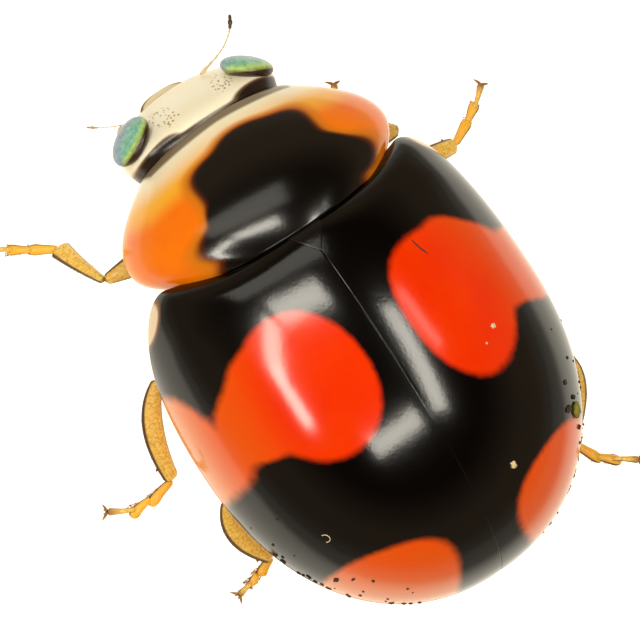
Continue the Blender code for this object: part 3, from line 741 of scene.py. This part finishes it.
def palp(sign):
    """Three joints of a jaw feeler, the last like a hatchet."""
    middle = (HEAD_AT[0], 0, 0)
    corners = np.array([(0.36, -3.98, 0.50), (0.50, -4.08, 0.40), (0.67, -4.14, 0.38), (0.80, -4.25, 0.44)])
    corners = (corners - middle) * (sign, 1, 1) + middle
    if sign < 0:
        corners[-1] += (0.14, 0.14, -0.05)
    shapes = []
    widths = ((0.035, 0.05), (0.04, 0.055), (0.045, 0.09))
    for start, end, (narrow, broad) in zip(corners[:-1], corners[1:], widths):
        t, shut = round_ends(20, 0.2, 0.15)
        wide = (narrow + (broad - narrow) * t) * shut
        shapes.append(limb(bezier((start, end), t), wide, np.minimum(wide, 0.05), sides=21,
                           joint=1 - np.clip(t / 0.2, 0, 1), pale=0.5))
    return joined(shapes)


def lip_and_jaws():
    """The upper lip, a flat rounded plate under the face, over two short curved jaws."""
    lip = posed(pebble(LIP_HALF, 2.4, 41, 61) @ LIP_TURN.T + LIP_AT)
    rim = np.linalg.norm(pebble((1, 1, 0), 2.4, 41, 61), axis=-1)
    shapes = [grid_shape(lip, joint=np.clip((rim - 0.80) / 0.15, 0, 1), pale=1.0)]
    for sign in (1, -1):
        hook = np.array([(0.30, 0.00, -0.50), (0.24, -0.20, -0.60), (0.04, -0.22, -0.60)]) * (sign, 1, 1)
        t, shut = round_ends(24, 0.2, 0.2)
        shapes.append(limb(bezier(posed(hook), t), (0.07 - 0.04 * t) * shut, 0.05 * shut, sides=17, joint=t))
    return joined(shapes)


def feeler(side):
    """Eleven beads along a curved path, each narrow at its root and round at its end. They
    are flattened to one side, and those of the club overlap."""
    ends = np.cumsum((0,) + FEELER_BEADS) / sum(FEELER_BEADS)
    t, shut = round_ends(14, 0.3, 0.5)
    shapes = []
    for bead, (start, end, radius) in enumerate(zip(ends[:-1], ends[1:], FEELER_RADII)):
        club = bead >= CLUB_START
        overlap = 0.5 if club else 0.12
        path = bezier(FEELER_PATHS[side], start + (end - start) * (t * (1 + overlap) - overlap / 2))
        thick = radius * (0.75 + 0.25 * t) * shut
        broad, flat = (1, FEELER_FLATNESS) if side == "right" else (FEELER_FLATNESS, 1)
        shapes.append(limb(path, thick * broad, thick * flat, sides=15, club=CLUB_DARKNESS[side] * club))
    return joined(shapes)


def feeler_cuticle():
    """Thin straw-coloured cuticle that light shines through, with a brown club."""
    made, tree = new_material("straw_feeler_cuticle", 0.4, 1.54)
    cloud = pattern(tree, "Noise", 0.04, Detail=3.0)
    return surfaced(made, tinted(tree, "#c4a478", (cloud, "#eedcb8"), (("club", 0.3, 0.8), "#4c3420")))


MOUTH = mouth_cuticle()
FEELER = feeler_cuticle()
make_piece("lip_and_jaws", lip_and_jaws(), MOUTH, "mouth_cuticle", "mouthparts")
for side, sign in SIDES:
    make_piece(side + "_jaw_feeler", palp(sign), MOUTH, "mouth_cuticle", side + "_palp")
    make_piece(side + "_feeler", feeler(side), FEELER, "feeler_cuticle", side + "_antenna")


# --- Pronotum ---
# The pronotum is a hard arched shield over the front legs, hinged to the body by soft skin
# under its hind edge. It is orange with a black middle, cream in front, and its thin edge
# lets light through. Its thin front rim is painted greyish brown for the shadow seen through it.
SHIELD_FRONT_Y = -3.80
SHIELD_REAR_Y = -2.13
SHIELD_HALF = 1.76
SHIELD_CROWN_Z = 2.43
# The share of its length at which the shield is widest.
SHIELD_WIDEST = 0.64
PLATE = 0.06


def stations(count, edge):
    """Shares from 0 to 1: even in the middle and crowded within edge of both ends."""
    fine = edge * (1 - np.cos(np.linspace(0, np.pi / 2, 6)))
    return np.concatenate([fine, np.linspace(edge, 1 - edge, count)[1:-1], 1 - fine[::-1]])


def shell(outside, inner_point, thickness=PLATE, rounding=0.02, **fields):
    """A thin closed plate that hangs under a grid of outside points. The normal is the cross
    product of the grid's two tangents, and the inside lies one thickness deeper. Near the
    plate's edge both close in on a quarter circle of the rounding, and a wall joins them."""
    normal = np.cross(np.gradient(outside, axis=0), np.gradient(outside, axis=1))
    normal /= np.linalg.norm(normal, axis=-1, keepdims=True) + 1e-12
    facing = np.sign(np.mean(np.sum(normal * (outside - inner_point), axis=-1)))
    near = np.full(outside.shape[:2], rounding)
    for axis in (0, 1):
        step = np.linalg.norm(np.diff(outside, axis=axis), axis=-1)
        run = np.concatenate([np.zeros_like(step.take([0], axis)), np.cumsum(step, axis)], axis)
        near = np.minimum(near, np.minimum(run, run.take([-1], axis) - run))
    depth = (rounding - np.sqrt(rounding ** 2 - (rounding - near) ** 2))[..., None]
    upper = outside - facing * normal * depth
    lower = outside - facing * normal * (thickness - depth)
    points, faces, spread = joined([grid_shape(upper, **fields), grid_shape(lower, **fields)])
    corner = np.arange(near.size).reshape(near.shape)
    ring = np.concatenate([corner[0, :-1], corner[:-1, -1], corner[-1, :0:-1], corner[:0:-1, 0]])
    after = np.roll(ring, -1)
    wall = np.stack([ring, after, after + near.size, ring + near.size], axis=-1)
    return points, np.concatenate([faces, wall]), spread


def shield_front(u):
    """Station of the pronotum's front edge, u from -1 to 1 across it."""
    return SHIELD_FRONT_Y + 0.24 * np.abs(u) ** 1.4


def shield_points(u, v):
    """The pronotum's outside, u from -1 to 1 across it and v from 0 to 1 along it.

    Across, it is half an ellipse that stands on the side edge; along, its crown line
    falls to the head with a slope that grows; in plan its sides bulge to a blunt point.
    """
    ahead = np.clip((SHIELD_WIDEST - v) / SHIELD_WIDEST, 0, 1)
    behind = np.clip((v - SHIELD_WIDEST) / (1 - SHIELD_WIDEST), 0, 1)
    half = SHIELD_HALF - 0.70 * ahead ** 1.9 - 0.34 * behind ** 2.2
    front = shield_front(u)
    rear = SHIELD_REAR_Y - 0.22 * np.abs(u) ** 2
    y = front + v * (rear - front)
    forward = SHIELD_REAR_Y - y
    crown = SHIELD_CROWN_Z - 0.05 * forward - 0.27 * np.maximum(forward, 0.0) ** 2.2
    edge = 0.98 + 0.38 * v
    angle = u * np.pi / 2
    return np.stack([half * np.sin(angle), y, edge + (crown - edge) * np.cos(angle)], axis=-1)


def pronotum():
    """The shield as a shell. Its fields are the depth inside the black mark, the distance
    from the front edge, and the share of the way to the side edge."""
    u, v = np.meshgrid(stations(190, 0.02) * 2 - 1, stations(110, 0.03))
    points = shield_points(u, v)
    x, y = points[..., 0], points[..., 1]
    black = united(x, y, 0.03, ((-0.06, -3.08), (0.76, 0.33), 1, 3.4), ((-0.09, -2.52), (1.14, 0.32)),
                   ((-0.18, -3.23), (0.46, 0.26), -12), ((0.05, -2.2), (0.93, 0.25)),
                   ((-0.78, -2.70), (0.48, 0.22), -38), ((0.60, -2.74), (0.22, 0.20)))
    front = y - shield_front(u) + 0.5 * np.maximum(np.abs(u) - 0.6, 0.0)
    return shell(points, (0, -3, 0.8), black=black, front=front, side=np.abs(u))


def dimples(tree):
    """The height of fine round pits 0.05 mm apart."""
    return rising(tree, pattern(tree, "Voronoi", 0.05), 0.0, 0.6)


def pronotum_cuticle():
    """Glossy cuticle over coloured fat: orange, cream along the front, black in the middle
    with a soft reddish edge, paler where the thin side edge lets light through. A thin
    greyish-brown line along the front edge is painted shade: the shadow under the rim seen
    through it. Pits 0.05 mm apart give it a fine grain."""
    made, tree = new_material("orange_black_pronotum_cuticle", 0.16, 1.56)
    cloud = pattern(tree, "Noise", 0.35, Detail=4.0)
    cream = tinted(tree, "#fff0c8", (cloud, "#fff8e2"))
    # The last tint, greyish brown along the front edge, is painted shade: the shadow under the thin front
    # rim, seen through it.
    colour = tinted(tree, "#fb6c00", (cloud, "#ff8600"), (("front", 0.66, 0.40), "#ffb42c"),
                    (("front", 0.42, 0.10), cream), (("side", 0.80, 1.0), "#ffa428"),
                    (("black", -0.10, -0.03), "#d8780e"), (("black", -0.045, -0.005), "#5a2006"),
                    (("black", -0.02, 0.015), "#0c0805"), (("front", 0.12, 0.08), "#86745a"))
    return surfaced(made, colour, (dimples(tree), 0.1, 0.002))


make_piece("pronotum_shield", pronotum(), pronotum_cuticle(), "pronotum_cuticle", "pronotum")


# --- Wing cases and scutellum ---
# The wing cases are two thin domed shells of hard, lacquer-like cuticle that meet in a
# straight suture. Each has a rounded rim and a folded edge under it. Black, with orange-red
# blotches; the small black scutellum lies between their front ends.
BASE_Y = -2.22
SHOULDER_SWEEP = 0.24
# The share across at which the shoulder's corner starts, and how far it is cut back.
CORNER_START = 0.62
CORNER_CUT = 0.79
SUTURE_GAP = 0.001
RIM_GAP = 0.002
RIM_RADIUS = 0.02
FOLD_WIDTH = 0.44
FOLD_PLATE = 0.035
SCUTELLUM_Y = -2.20
SCUTELLUM_HALF = 0.25
SCUTELLUM_LENGTH = 0.40
SCUTELLUM_PLATE = 0.04
# The ovals that join into the orange-red blotches of the left wing case and of the right
# one: middle, half-sizes, turn and power. The last of each is the blotch at the rear.
SPOTS = {
    1: (((0.95, -0.59), (0.68, 0.90), 4, 2.1), ((2.35, -0.71), (0.35, 0.73), 12, 4),
        ((1.64, -0.57), (0.41, 0.44), -23, 2.9), ((1.35, -0.88), (0.34, 0.42), 50, 3),
        ((1.32, 1.96), (0.82, 0.55), -14, 3.0)),
    -1: (((0.99, -0.53), (0.62, 0.87), -3, 2.4), ((2.25, -0.43), (0.48, 0.47), 0, 3),
         ((1.37, -0.85), (0.50, 0.465), 40, 4), ((1.80, -0.46), (0.46, 0.40), 0, 3),
         ((0.90, -0.20), (0.38, 0.62), -14, 2.4), ((1.14, 1.92), (0.80, 0.47), -20, 2.4)),
}
CREAM_STRIP = ((1.965, -2.185), (0.285, 0.10), 51, 2.4)


def wing_front(u):
    """Station of the wing cases' front edge, u from 0 at the suture to 1 at the side: it
    sweeps forward to the shoulder and is rounded back at its corner."""
    corner = np.clip((u - CORNER_START) / (1 - CORNER_START), 0, 1)
    return BASE_Y - SHOULDER_SWEEP * np.sin(u * 1.9) ** 3 + CORNER_CUT * corner ** 1.9


def dome_points(u, y):
    """The dome over both wing cases at a share across, u, and a station along, y. Each
    section is the upper half of an ellipse on the margin; it dips towards the front edge
    by an exponential of the distance, and swells a little at the shoulder."""
    angle = u * np.pi / 2
    edge = margin_height(y)
    rise = dome_rise(y) + MARGIN_Z - edge
    dip = 0.16 + 0.22 * np.sin(np.clip(u / 0.4, 0, 1) * np.pi / 2) ** 2
    dip = dip * np.exp(-(y - wing_front(u)) / 0.10)
    shoulder = 0.035 * np.exp(-((u - 0.66) / 0.12) ** 2 - ((y + 1.85) / 0.22) ** 2)
    z = edge + (np.maximum(rise, 0.0) - dip + shoulder) * np.cos(angle)
    return np.stack([dome_half(y) * np.sin(angle), y, z], axis=-1)


def station(share):
    """Station on the egg at a share of its reach: -1 in front, 0 where it is widest, 1 behind."""
    return DOME_Y + np.where(share < 0, DOME_FRONT, DOME_REAR) * share


def wing_grid(sign):
    """The outside of one wing case on a grid of two angles a and b that has no pole.

    On a ball, sideways is sin a * sqrt(1 - sin(b)^2 / 2), backwards sin b * sqrt(1 -
    sin(a)^2 / 2) and upwards cos a * cos b, so the far corner of the grid lies on the
    margin. The front row is moved to the front edge in a few rounds.
    """
    a = (stations(150, 0.012) * np.pi / 2)[None, :]
    narrow = np.sqrt(1 - np.sin(a) ** 2 / 2)

    def across(b):
        upwards = np.maximum(np.cos(a) * np.cos(b), 1e-9)
        return np.arctan2(np.sin(a) * np.sqrt(1 - np.sin(b) ** 2 / 2), upwards) * 2 / np.pi

    start = np.full_like(a, -0.5)
    for _ in range(8):
        ball_y = (wing_front(across(start)) - DOME_Y) / DOME_FRONT
        start = np.arcsin(np.clip(ball_y / narrow, -0.95, 0.95))
    b = start + stations(220, 0.010)[:, None] * (np.pi / 2 - start)
    points = dome_points(across(b), station(np.sin(b) * narrow))
    return points * (sign, 1, 1) + (SUTURE_GAP * sign, 0, 0)


def wing_fields(points, sign):
    """Depths inside the orange-red blotches and the cream strip of one wing case."""
    x, y = points[..., 0] * sign, points[..., 1]
    return {"spot": united(x, y, 0.04, *SPOTS[sign]), "cream": blob(x, y, *CREAM_STRIP)}


def side_share(points):
    """0 on the crown and 1 on the margin: the arccosine of the share of the height."""
    height = (points[..., 2] - margin_height(points[..., 1])) / (CROWN_Z - MARGIN_Z)
    return np.arccos(np.clip(height, 0, 1)) * 2 / np.pi


def margin_path(count):
    """The wing cases' margin from the shoulder to the tip, by even turns of the egg."""
    start = np.arcsin((wing_front(np.array(1.0)) - DOME_Y) / DOME_FRONT)
    y = station(np.sin(np.linspace(start, np.pi / 2, count)))
    return np.stack([dome_half(y), y, margin_height(y)], axis=-1)


def wing_case(sign):
    """Dome, rim and folded edge of one wing case."""
    dome = wing_grid(sign)
    path = margin_path(180) * (sign, 1, 1) + (RIM_GAP * sign, 0, 0)
    inward = unit((path - (0, DOME_Y, 0)) * (-1, -0.6, 0))
    t, shut = round_ends(len(path), 0.05, 0.01)
    thick = RIM_RADIUS * shut
    points, faces, _ = limb(path + inward * 0.016 + (0, 0, -0.012), thick, thick, sides=17)
    rim = points, faces, {"side": np.ones(len(points)), **wing_fields(points, sign)}
    width = FOLD_WIDTH - 0.30 * t ** 1.5
    across = stations(12, 0.06)
    fold = path[:, None] + inward[:, None] * (width[:, None] * across)[..., None]
    fold[..., 2] -= 0.02 + 0.05 * across * (1 - t[:, None])
    spot = wing_fields(fold, sign)["spot"]
    return joined([shell(dome, (0, 0, 0.9), PLATE, 0.004, side=side_share(dome), **wing_fields(dome, sign)),
                   rim, shell(fold, (0, 0, 3.0), FOLD_PLATE, 0.015, spot=spot, fold=1.0)])


def wing_cuticle():
    """Glossy cuticle like old lacquer over black or orange-red. Towards the margin, by slope,
    the red pales to orange and then salmon; this paling is partly the red's own and partly
    painted reflection of the bright floor. The blotches' edges are soft over 0.09 mm; pits
    0.05 mm apart and low waves 0.16 mm across break the shine a little. The folded edge
    beneath is the colour of straw."""
    made, tree = new_material("black_red_wing_case_cuticle", 0.13, 1.50)
    cloud = pattern(tree, "Noise", 0.5, Detail=5.0)
    # Paler by slope towards the margin: partly the red's own paling, partly painted reflection of the bright
    # floor.
    red = tinted(tree, "#ee2800", (cloud, "#f84000"), (("side", 0.38, 0.66), "#f05800"),
                 (("side", 0.66, 0.95), "#f89c68"))
    fray = pattern(tree, "Noise", 0.10, Detail=3.0)
    level = add_node(tree, "Attribute", {}, "Fac", attribute_name="spot")
    frayed = add_node(tree, "Math", {0: fray, 1: 0.03, 2: level}, operation="MULTIPLY_ADD")
    share = rising(tree, frayed, -0.03, 0.06)
    straw = tinted(tree, "#b89858", (share, "#f0b070"))
    colour = tinted(tree, "#070403", (share, red), (("cream", -0.03, 0.0), "#7a4420"),
                    (("cream", -0.005, 0.02), "#f0d6b0"), (("fold", 0.4, 0.6), straw))
    waves = pattern(tree, "Noise", 0.16, Detail=4.0)
    return surfaced(made, colour, (dimples(tree), 0.1, 0.0015), (waves, 0.2, 0.004))


def scutellum():
    """The small triangle between the wing cases' front ends, point to the rear."""
    u, v = np.meshgrid(stations(24, 0.1) * 2 - 1, stations(24, 0.1))
    x = u * SCUTELLUM_HALF * (1 - v ** 1.2)
    y = SCUTELLUM_Y + SCUTELLUM_LENGTH * v
    across = np.arcsin(x / dome_half(y)) * 2 / np.pi
    return shell(dome_points(across, y) + (0, 0, 0.016), (0, -2, 0.8), SCUTELLUM_PLATE, 0.012)


def scutellum_cuticle():
    """The same black lacquer-like cuticle as the wing cases, a little rougher."""
    made, tree = new_material("black_scutellum_cuticle", 0.2, 1.56)
    cloud = pattern(tree, "Noise", 0.06, Detail=3.0)
    return surfaced(made, tinted(tree, "#060404", (cloud, "#120c0a")), (cloud, 0.3, 0.006))


WING = wing_cuticle()
for side, sign in SIDES:
    make_piece(side + "_wing_case_shell", wing_case(sign), WING, "wing_case_cuticle", side + "_wing_case")
make_piece("scutellum_plate", scutellum(), scutellum_cuticle(), "scutellum_cuticle", "scutellum")


# --- Dust ---
# A living beetle carries grains of soil and pollen: an olive crumb with dark ones beside it
# on the right rear edge, two pale grains and a fibre on its back, and specks of soil that
# cling along the rear half of the margin.
SIDE_SPECKS = 26
MARGIN_SPECKS = 44


def grain(across, y, half):
    """A lumpy pebble stuck on the wing cases, at a share across and a station along. Its
    radius is swollen by 1 + 0.22 * sin(4 dx + p) * sin(5 dy + q), with random p and q."""
    place, aside, along = dome_points(np.array([across, across + 0.004, across]), np.array([y, y, y + 0.004]))
    aside = unit(aside - place)
    outward = unit(np.cross(aside, along - place))
    axes = np.stack([aside, np.cross(outward, aside), outward])
    ball = pebble((1.0, 1.0, 1.0), 2.0, 13, 19)
    first, second = rng.uniform(0, 2 * np.pi, 2)
    swollen = ball * (1 + 0.22 * np.sin(4 * ball[..., :1] + first) * np.sin(5 * ball[..., 1:2] + second))
    return grid_shape(place + outward * half[2] * 0.4 + (swollen * half) @ axes)


def dust(name, first, second):
    """Matt mineral or pollen grains with a mottle of 0.02 mm."""
    return speckled(name, 0.7, 1.5, 0.02, first, second, 3.0)


def soil_specks():
    """The dark crumbs by the olive one, a smear on the left rear edge, a fine dark crack in
    front, and random specks: small ones on the sides and long ones right on the margin."""
    shapes = [grain(-0.605, 1.256, (0.06, 0.04, 0.02)), grain(-0.675, 1.176, (0.03, 0.03, 0.02)),
              grain(-0.73, 1.50, (0.03, 0.03, 0.02)), grain(-0.62, 0.98, (0.03, 0.03, 0.015)),
              grain(0.80, 1.42, (0.05, 0.03, 0.015)), grain(0.72, 1.52, (0.03, 0.015, 0.012))]
    t, shut = round_ends(20, 0.4, 0.4)
    crack = dome_points(-0.285 - 0.02 * t ** 2, -1.36 + 0.26 * t)
    shapes.append(limb(crack, 0.010 * shut, 0.006 * shut, sides=9))
    for side, y in zip(rng.choice((-1, 1), SIDE_SPECKS), rng.uniform(0.2, 2.1, SIDE_SPECKS)):
        size = rng.uniform(0.008, 0.018)
        shapes.append(grain(side * rng.uniform(0.62, 0.97), y, (size, size * 1.2, size * 0.7)))
    sides = rng.choice((-1, 1), MARGIN_SPECKS, p=(0.6, 0.4))
    for side, share in zip(sides, rng.uniform(0.42, 0.97, MARGIN_SPECKS)):
        length = rng.uniform(0.012, 0.035)
        shapes.append(grain(side * rng.uniform(0.93, 0.99), station(share), (0.011, length, 0.012)))
    return joined(shapes)


def pale_grains():
    """Pale grains, two large and one small, and a curled fibre."""
    t = np.linspace(0.0, 1.0, 16)
    curl = np.pi * (0.3 + 1.2 * t)
    path = dome_points(0.60 + 0.020 * np.cos(curl), 0.95 + 0.05 * np.sin(curl)) + (0, 0, 0.004)
    thin = np.full(16, 0.005)
    return joined([grain(-0.20, 1.42, (0.035, 0.045, 0.03)), grain(-0.36, -0.02, (0.035, 0.03, 0.015)),
                   grain(-0.30, 0.10, (0.014, 0.014, 0.01)), limb(path, thin, thin, sides=9)])


make_piece("soil_specks", soil_specks(), dust("dark_soil", "#1a120a", "#3e2c18"))
crumb = grain(-0.685, 1.31, (0.06, 0.088, 0.045))
make_piece("pollen_crumb", crumb, dust("olive_pollen", "#5c5410", "#a29a30"))
make_piece("pale_grains", pale_grains(), dust("pale_grain", "#d8b888", "#f4deb0"))


# --- Floor, light and camera ---
# The beetle stands on a light table of opal acrylic, lit under the animal only. Seven soft
# area lights stand round the camera, and their reflections lie round the crown of its
# back. The camera looks almost straight down, leaning a little to the beetle's left.
VIEW_TILT = np.radians(11.5)
VIEW_ROLL = np.radians(33.37)
VIEW_CENTRE = np.array([0.130, -1.158])
VIEW_WIDTH = 7.366
CAMERA_DISTANCE = 90.0
SENSOR = 36.0
back = Vector((np.sin(VIEW_TILT), 0.0, np.cos(VIEW_TILT)))
ahead = Vector((0.0, -1.0, 0.0))
beside = ahead.cross(back)
up = (ahead * np.cos(VIEW_ROLL) + beside * np.sin(VIEW_ROLL)).normalized()
centre = Vector(np.array([VIEW_CENTRE[0] / np.cos(VIEW_TILT), VIEW_CENTRE[1], MARGIN_Z]) * MM + ORIGIN)


def facing(x_axis, y_axis, z_axis, place):
    """The matrix of an object whose axes and place are given."""
    matrix = Matrix((x_axis, y_axis, z_axis)).transposed().to_4x4()
    matrix.translation = place
    return matrix


TABLE_SIZE = 0.6
LIT_RADIUS = 6.2
DIM_RADIUS = 10.0
LIT_SQUEEZE = (0.84, 1.28, 1.0)
LIT_STRENGTH = 1.15
DIM_STRENGTH = 0.15


def light_table():
    """Opal acrylic with a faint grain over a small lamp: it burns out to white under the
    beetle and fades between the lit radius and the dim one. The lit patch is an oval."""
    made, tree = new_material("opal_acrylic", 0.9, 1.5)
    middle = tuple(np.array([*VIEW_CENTRE, 0.0]) * MM + ORIGIN)
    away = add_node(tree, "VectorMath", {0: add_node(tree, "TexCoord", {}, "Object"), 1: middle},
                    operation="SUBTRACT")
    away = add_node(tree, "VectorMath", {0: away, 1: LIT_SQUEEZE}, operation="MULTIPLY")
    distance = add_node(tree, "VectorMath", {0: away}, "Value", operation="LENGTH")
    lamp = add_node(tree, "MapRange", {"Value": distance, "From Min": LIT_RADIUS * MM,
                                       "From Max": DIM_RADIUS * MM, "To Min": LIT_STRENGTH,
                                       "To Max": DIM_STRENGTH}, interpolation_type="SMOOTHSTEP")
    shader = tree.nodes["Principled BSDF"].inputs
    tree.links.new(lamp, shader["Emission Strength"])
    shader["Emission Color"].default_value = linear("#fff9e8")
    cloud = pattern(tree, "Noise", 0.4, Detail=3.0)
    return surfaced(made, tinted(tree, "#9c9a94", (cloud, "#a4a29c")))


bpy.ops.mesh.primitive_plane_add(size=TABLE_SIZE)
floor = bpy.context.object
floor.name = "floor"
floor.data.materials.append(light_table())

camera = bpy.data.objects.new("camera", bpy.data.cameras.new("camera"))
camera.data.sensor_width = SENSOR
camera.data.lens = SENSOR * CAMERA_DISTANCE / VIEW_WIDTH
camera.data.clip_start = 0.005
camera.data.clip_end = 5.0
camera.matrix_world = facing(up.cross(back), up, back, centre + back * CAMERA_DISTANCE * MM)
bpy.context.scene.collection.objects.link(camera)
bpy.context.scene.camera = camera

LIGHT_DISTANCE = 60.0
LAMP_COLOUR = (1.0, 0.96, 0.84)
# Each strip's middle as bearings from the camera's axis in degrees, to the beetle's left and
# to its tail, then its size in degrees that way, its turn and its brightness.
STRIPS = {
    "left_strip": (28.0, -1.0, 5.5, 14.0, -6.0, 18.0),
    "corner_strip": (20.0, -13.0, 17.0, 5.0, 32.0, 17.0),
    "front_strip": (-2.0, -18.5, 24.0, 7.0, 0.0, 14.0),
    "front_panel": (-3.0, -36.0, 44.0, 16.0, 0.0, 1.8),
    "rear_strip": (-5.0, 22.5, 26.0, 7.0, 0.0, 13.5),
    "right_strip": (-31.5, 9.5, 7.0, 32.0, -12.0, 14.0),
    "far_strip": (-43.0, -1.0, 4.0, 15.0, 8.0, 4.0),
}
for name, (x, y, width, length, turn, radiance) in STRIPS.items():
    bearing = back - beside * np.tan(np.radians(x)) - ahead * np.tan(np.radians(y))
    place = centre + LIGHT_DISTANCE * MM * bearing
    aim = (place - centre).normalized()
    across = (aim * beside.dot(aim) - beside).normalized()
    across = Matrix.Rotation(np.radians(turn), 3, aim) @ across
    lamp = bpy.data.lights.new(name, "AREA")
    lamp.shape = "RECTANGLE"
    lamp.color = LAMP_COLOUR
    lamp.size, lamp.size_y = (np.radians((width, length)) * (place - centre).length).tolist()
    lamp.energy = radiance * np.pi * lamp.size * lamp.size_y
    light = bpy.data.objects.new(name, lamp)
    light.matrix_world = facing(across, aim.cross(across), aim, place)
    bpy.context.scene.collection.objects.link(light)

# The room: black overhead, a warm haze lower down and pale walls at the foot.
world = bpy.data.worlds.new("studio")
world.use_nodes = True
bpy.context.scene.world = world
sky = world.node_tree
direction = add_node(sky, "TexCoord", {}, "Generated")
height = add_node(sky, "SeparateXYZ", {0: direction}, "Z")
haze = add_node(sky, "MapRange", {"Value": height, "From Min": 0.70, "From Max": 0.40})
wall = add_node(sky, "MapRange", {"Value": height, "From Min": 0.15, "From Max": 0.0, "To Max": 0.15})
colour = tinted(sky, (0.003, 0.003, 0.003, 1.0), (haze, (0.26, 0.19, 0.12, 1.0)),
                (wall, (1.0, 0.95, 0.80, 1.0)))
sky.links.new(colour, sky.nodes["Background"].inputs["Color"])

bpy.context.scene.view_settings.view_transform = "Standard"
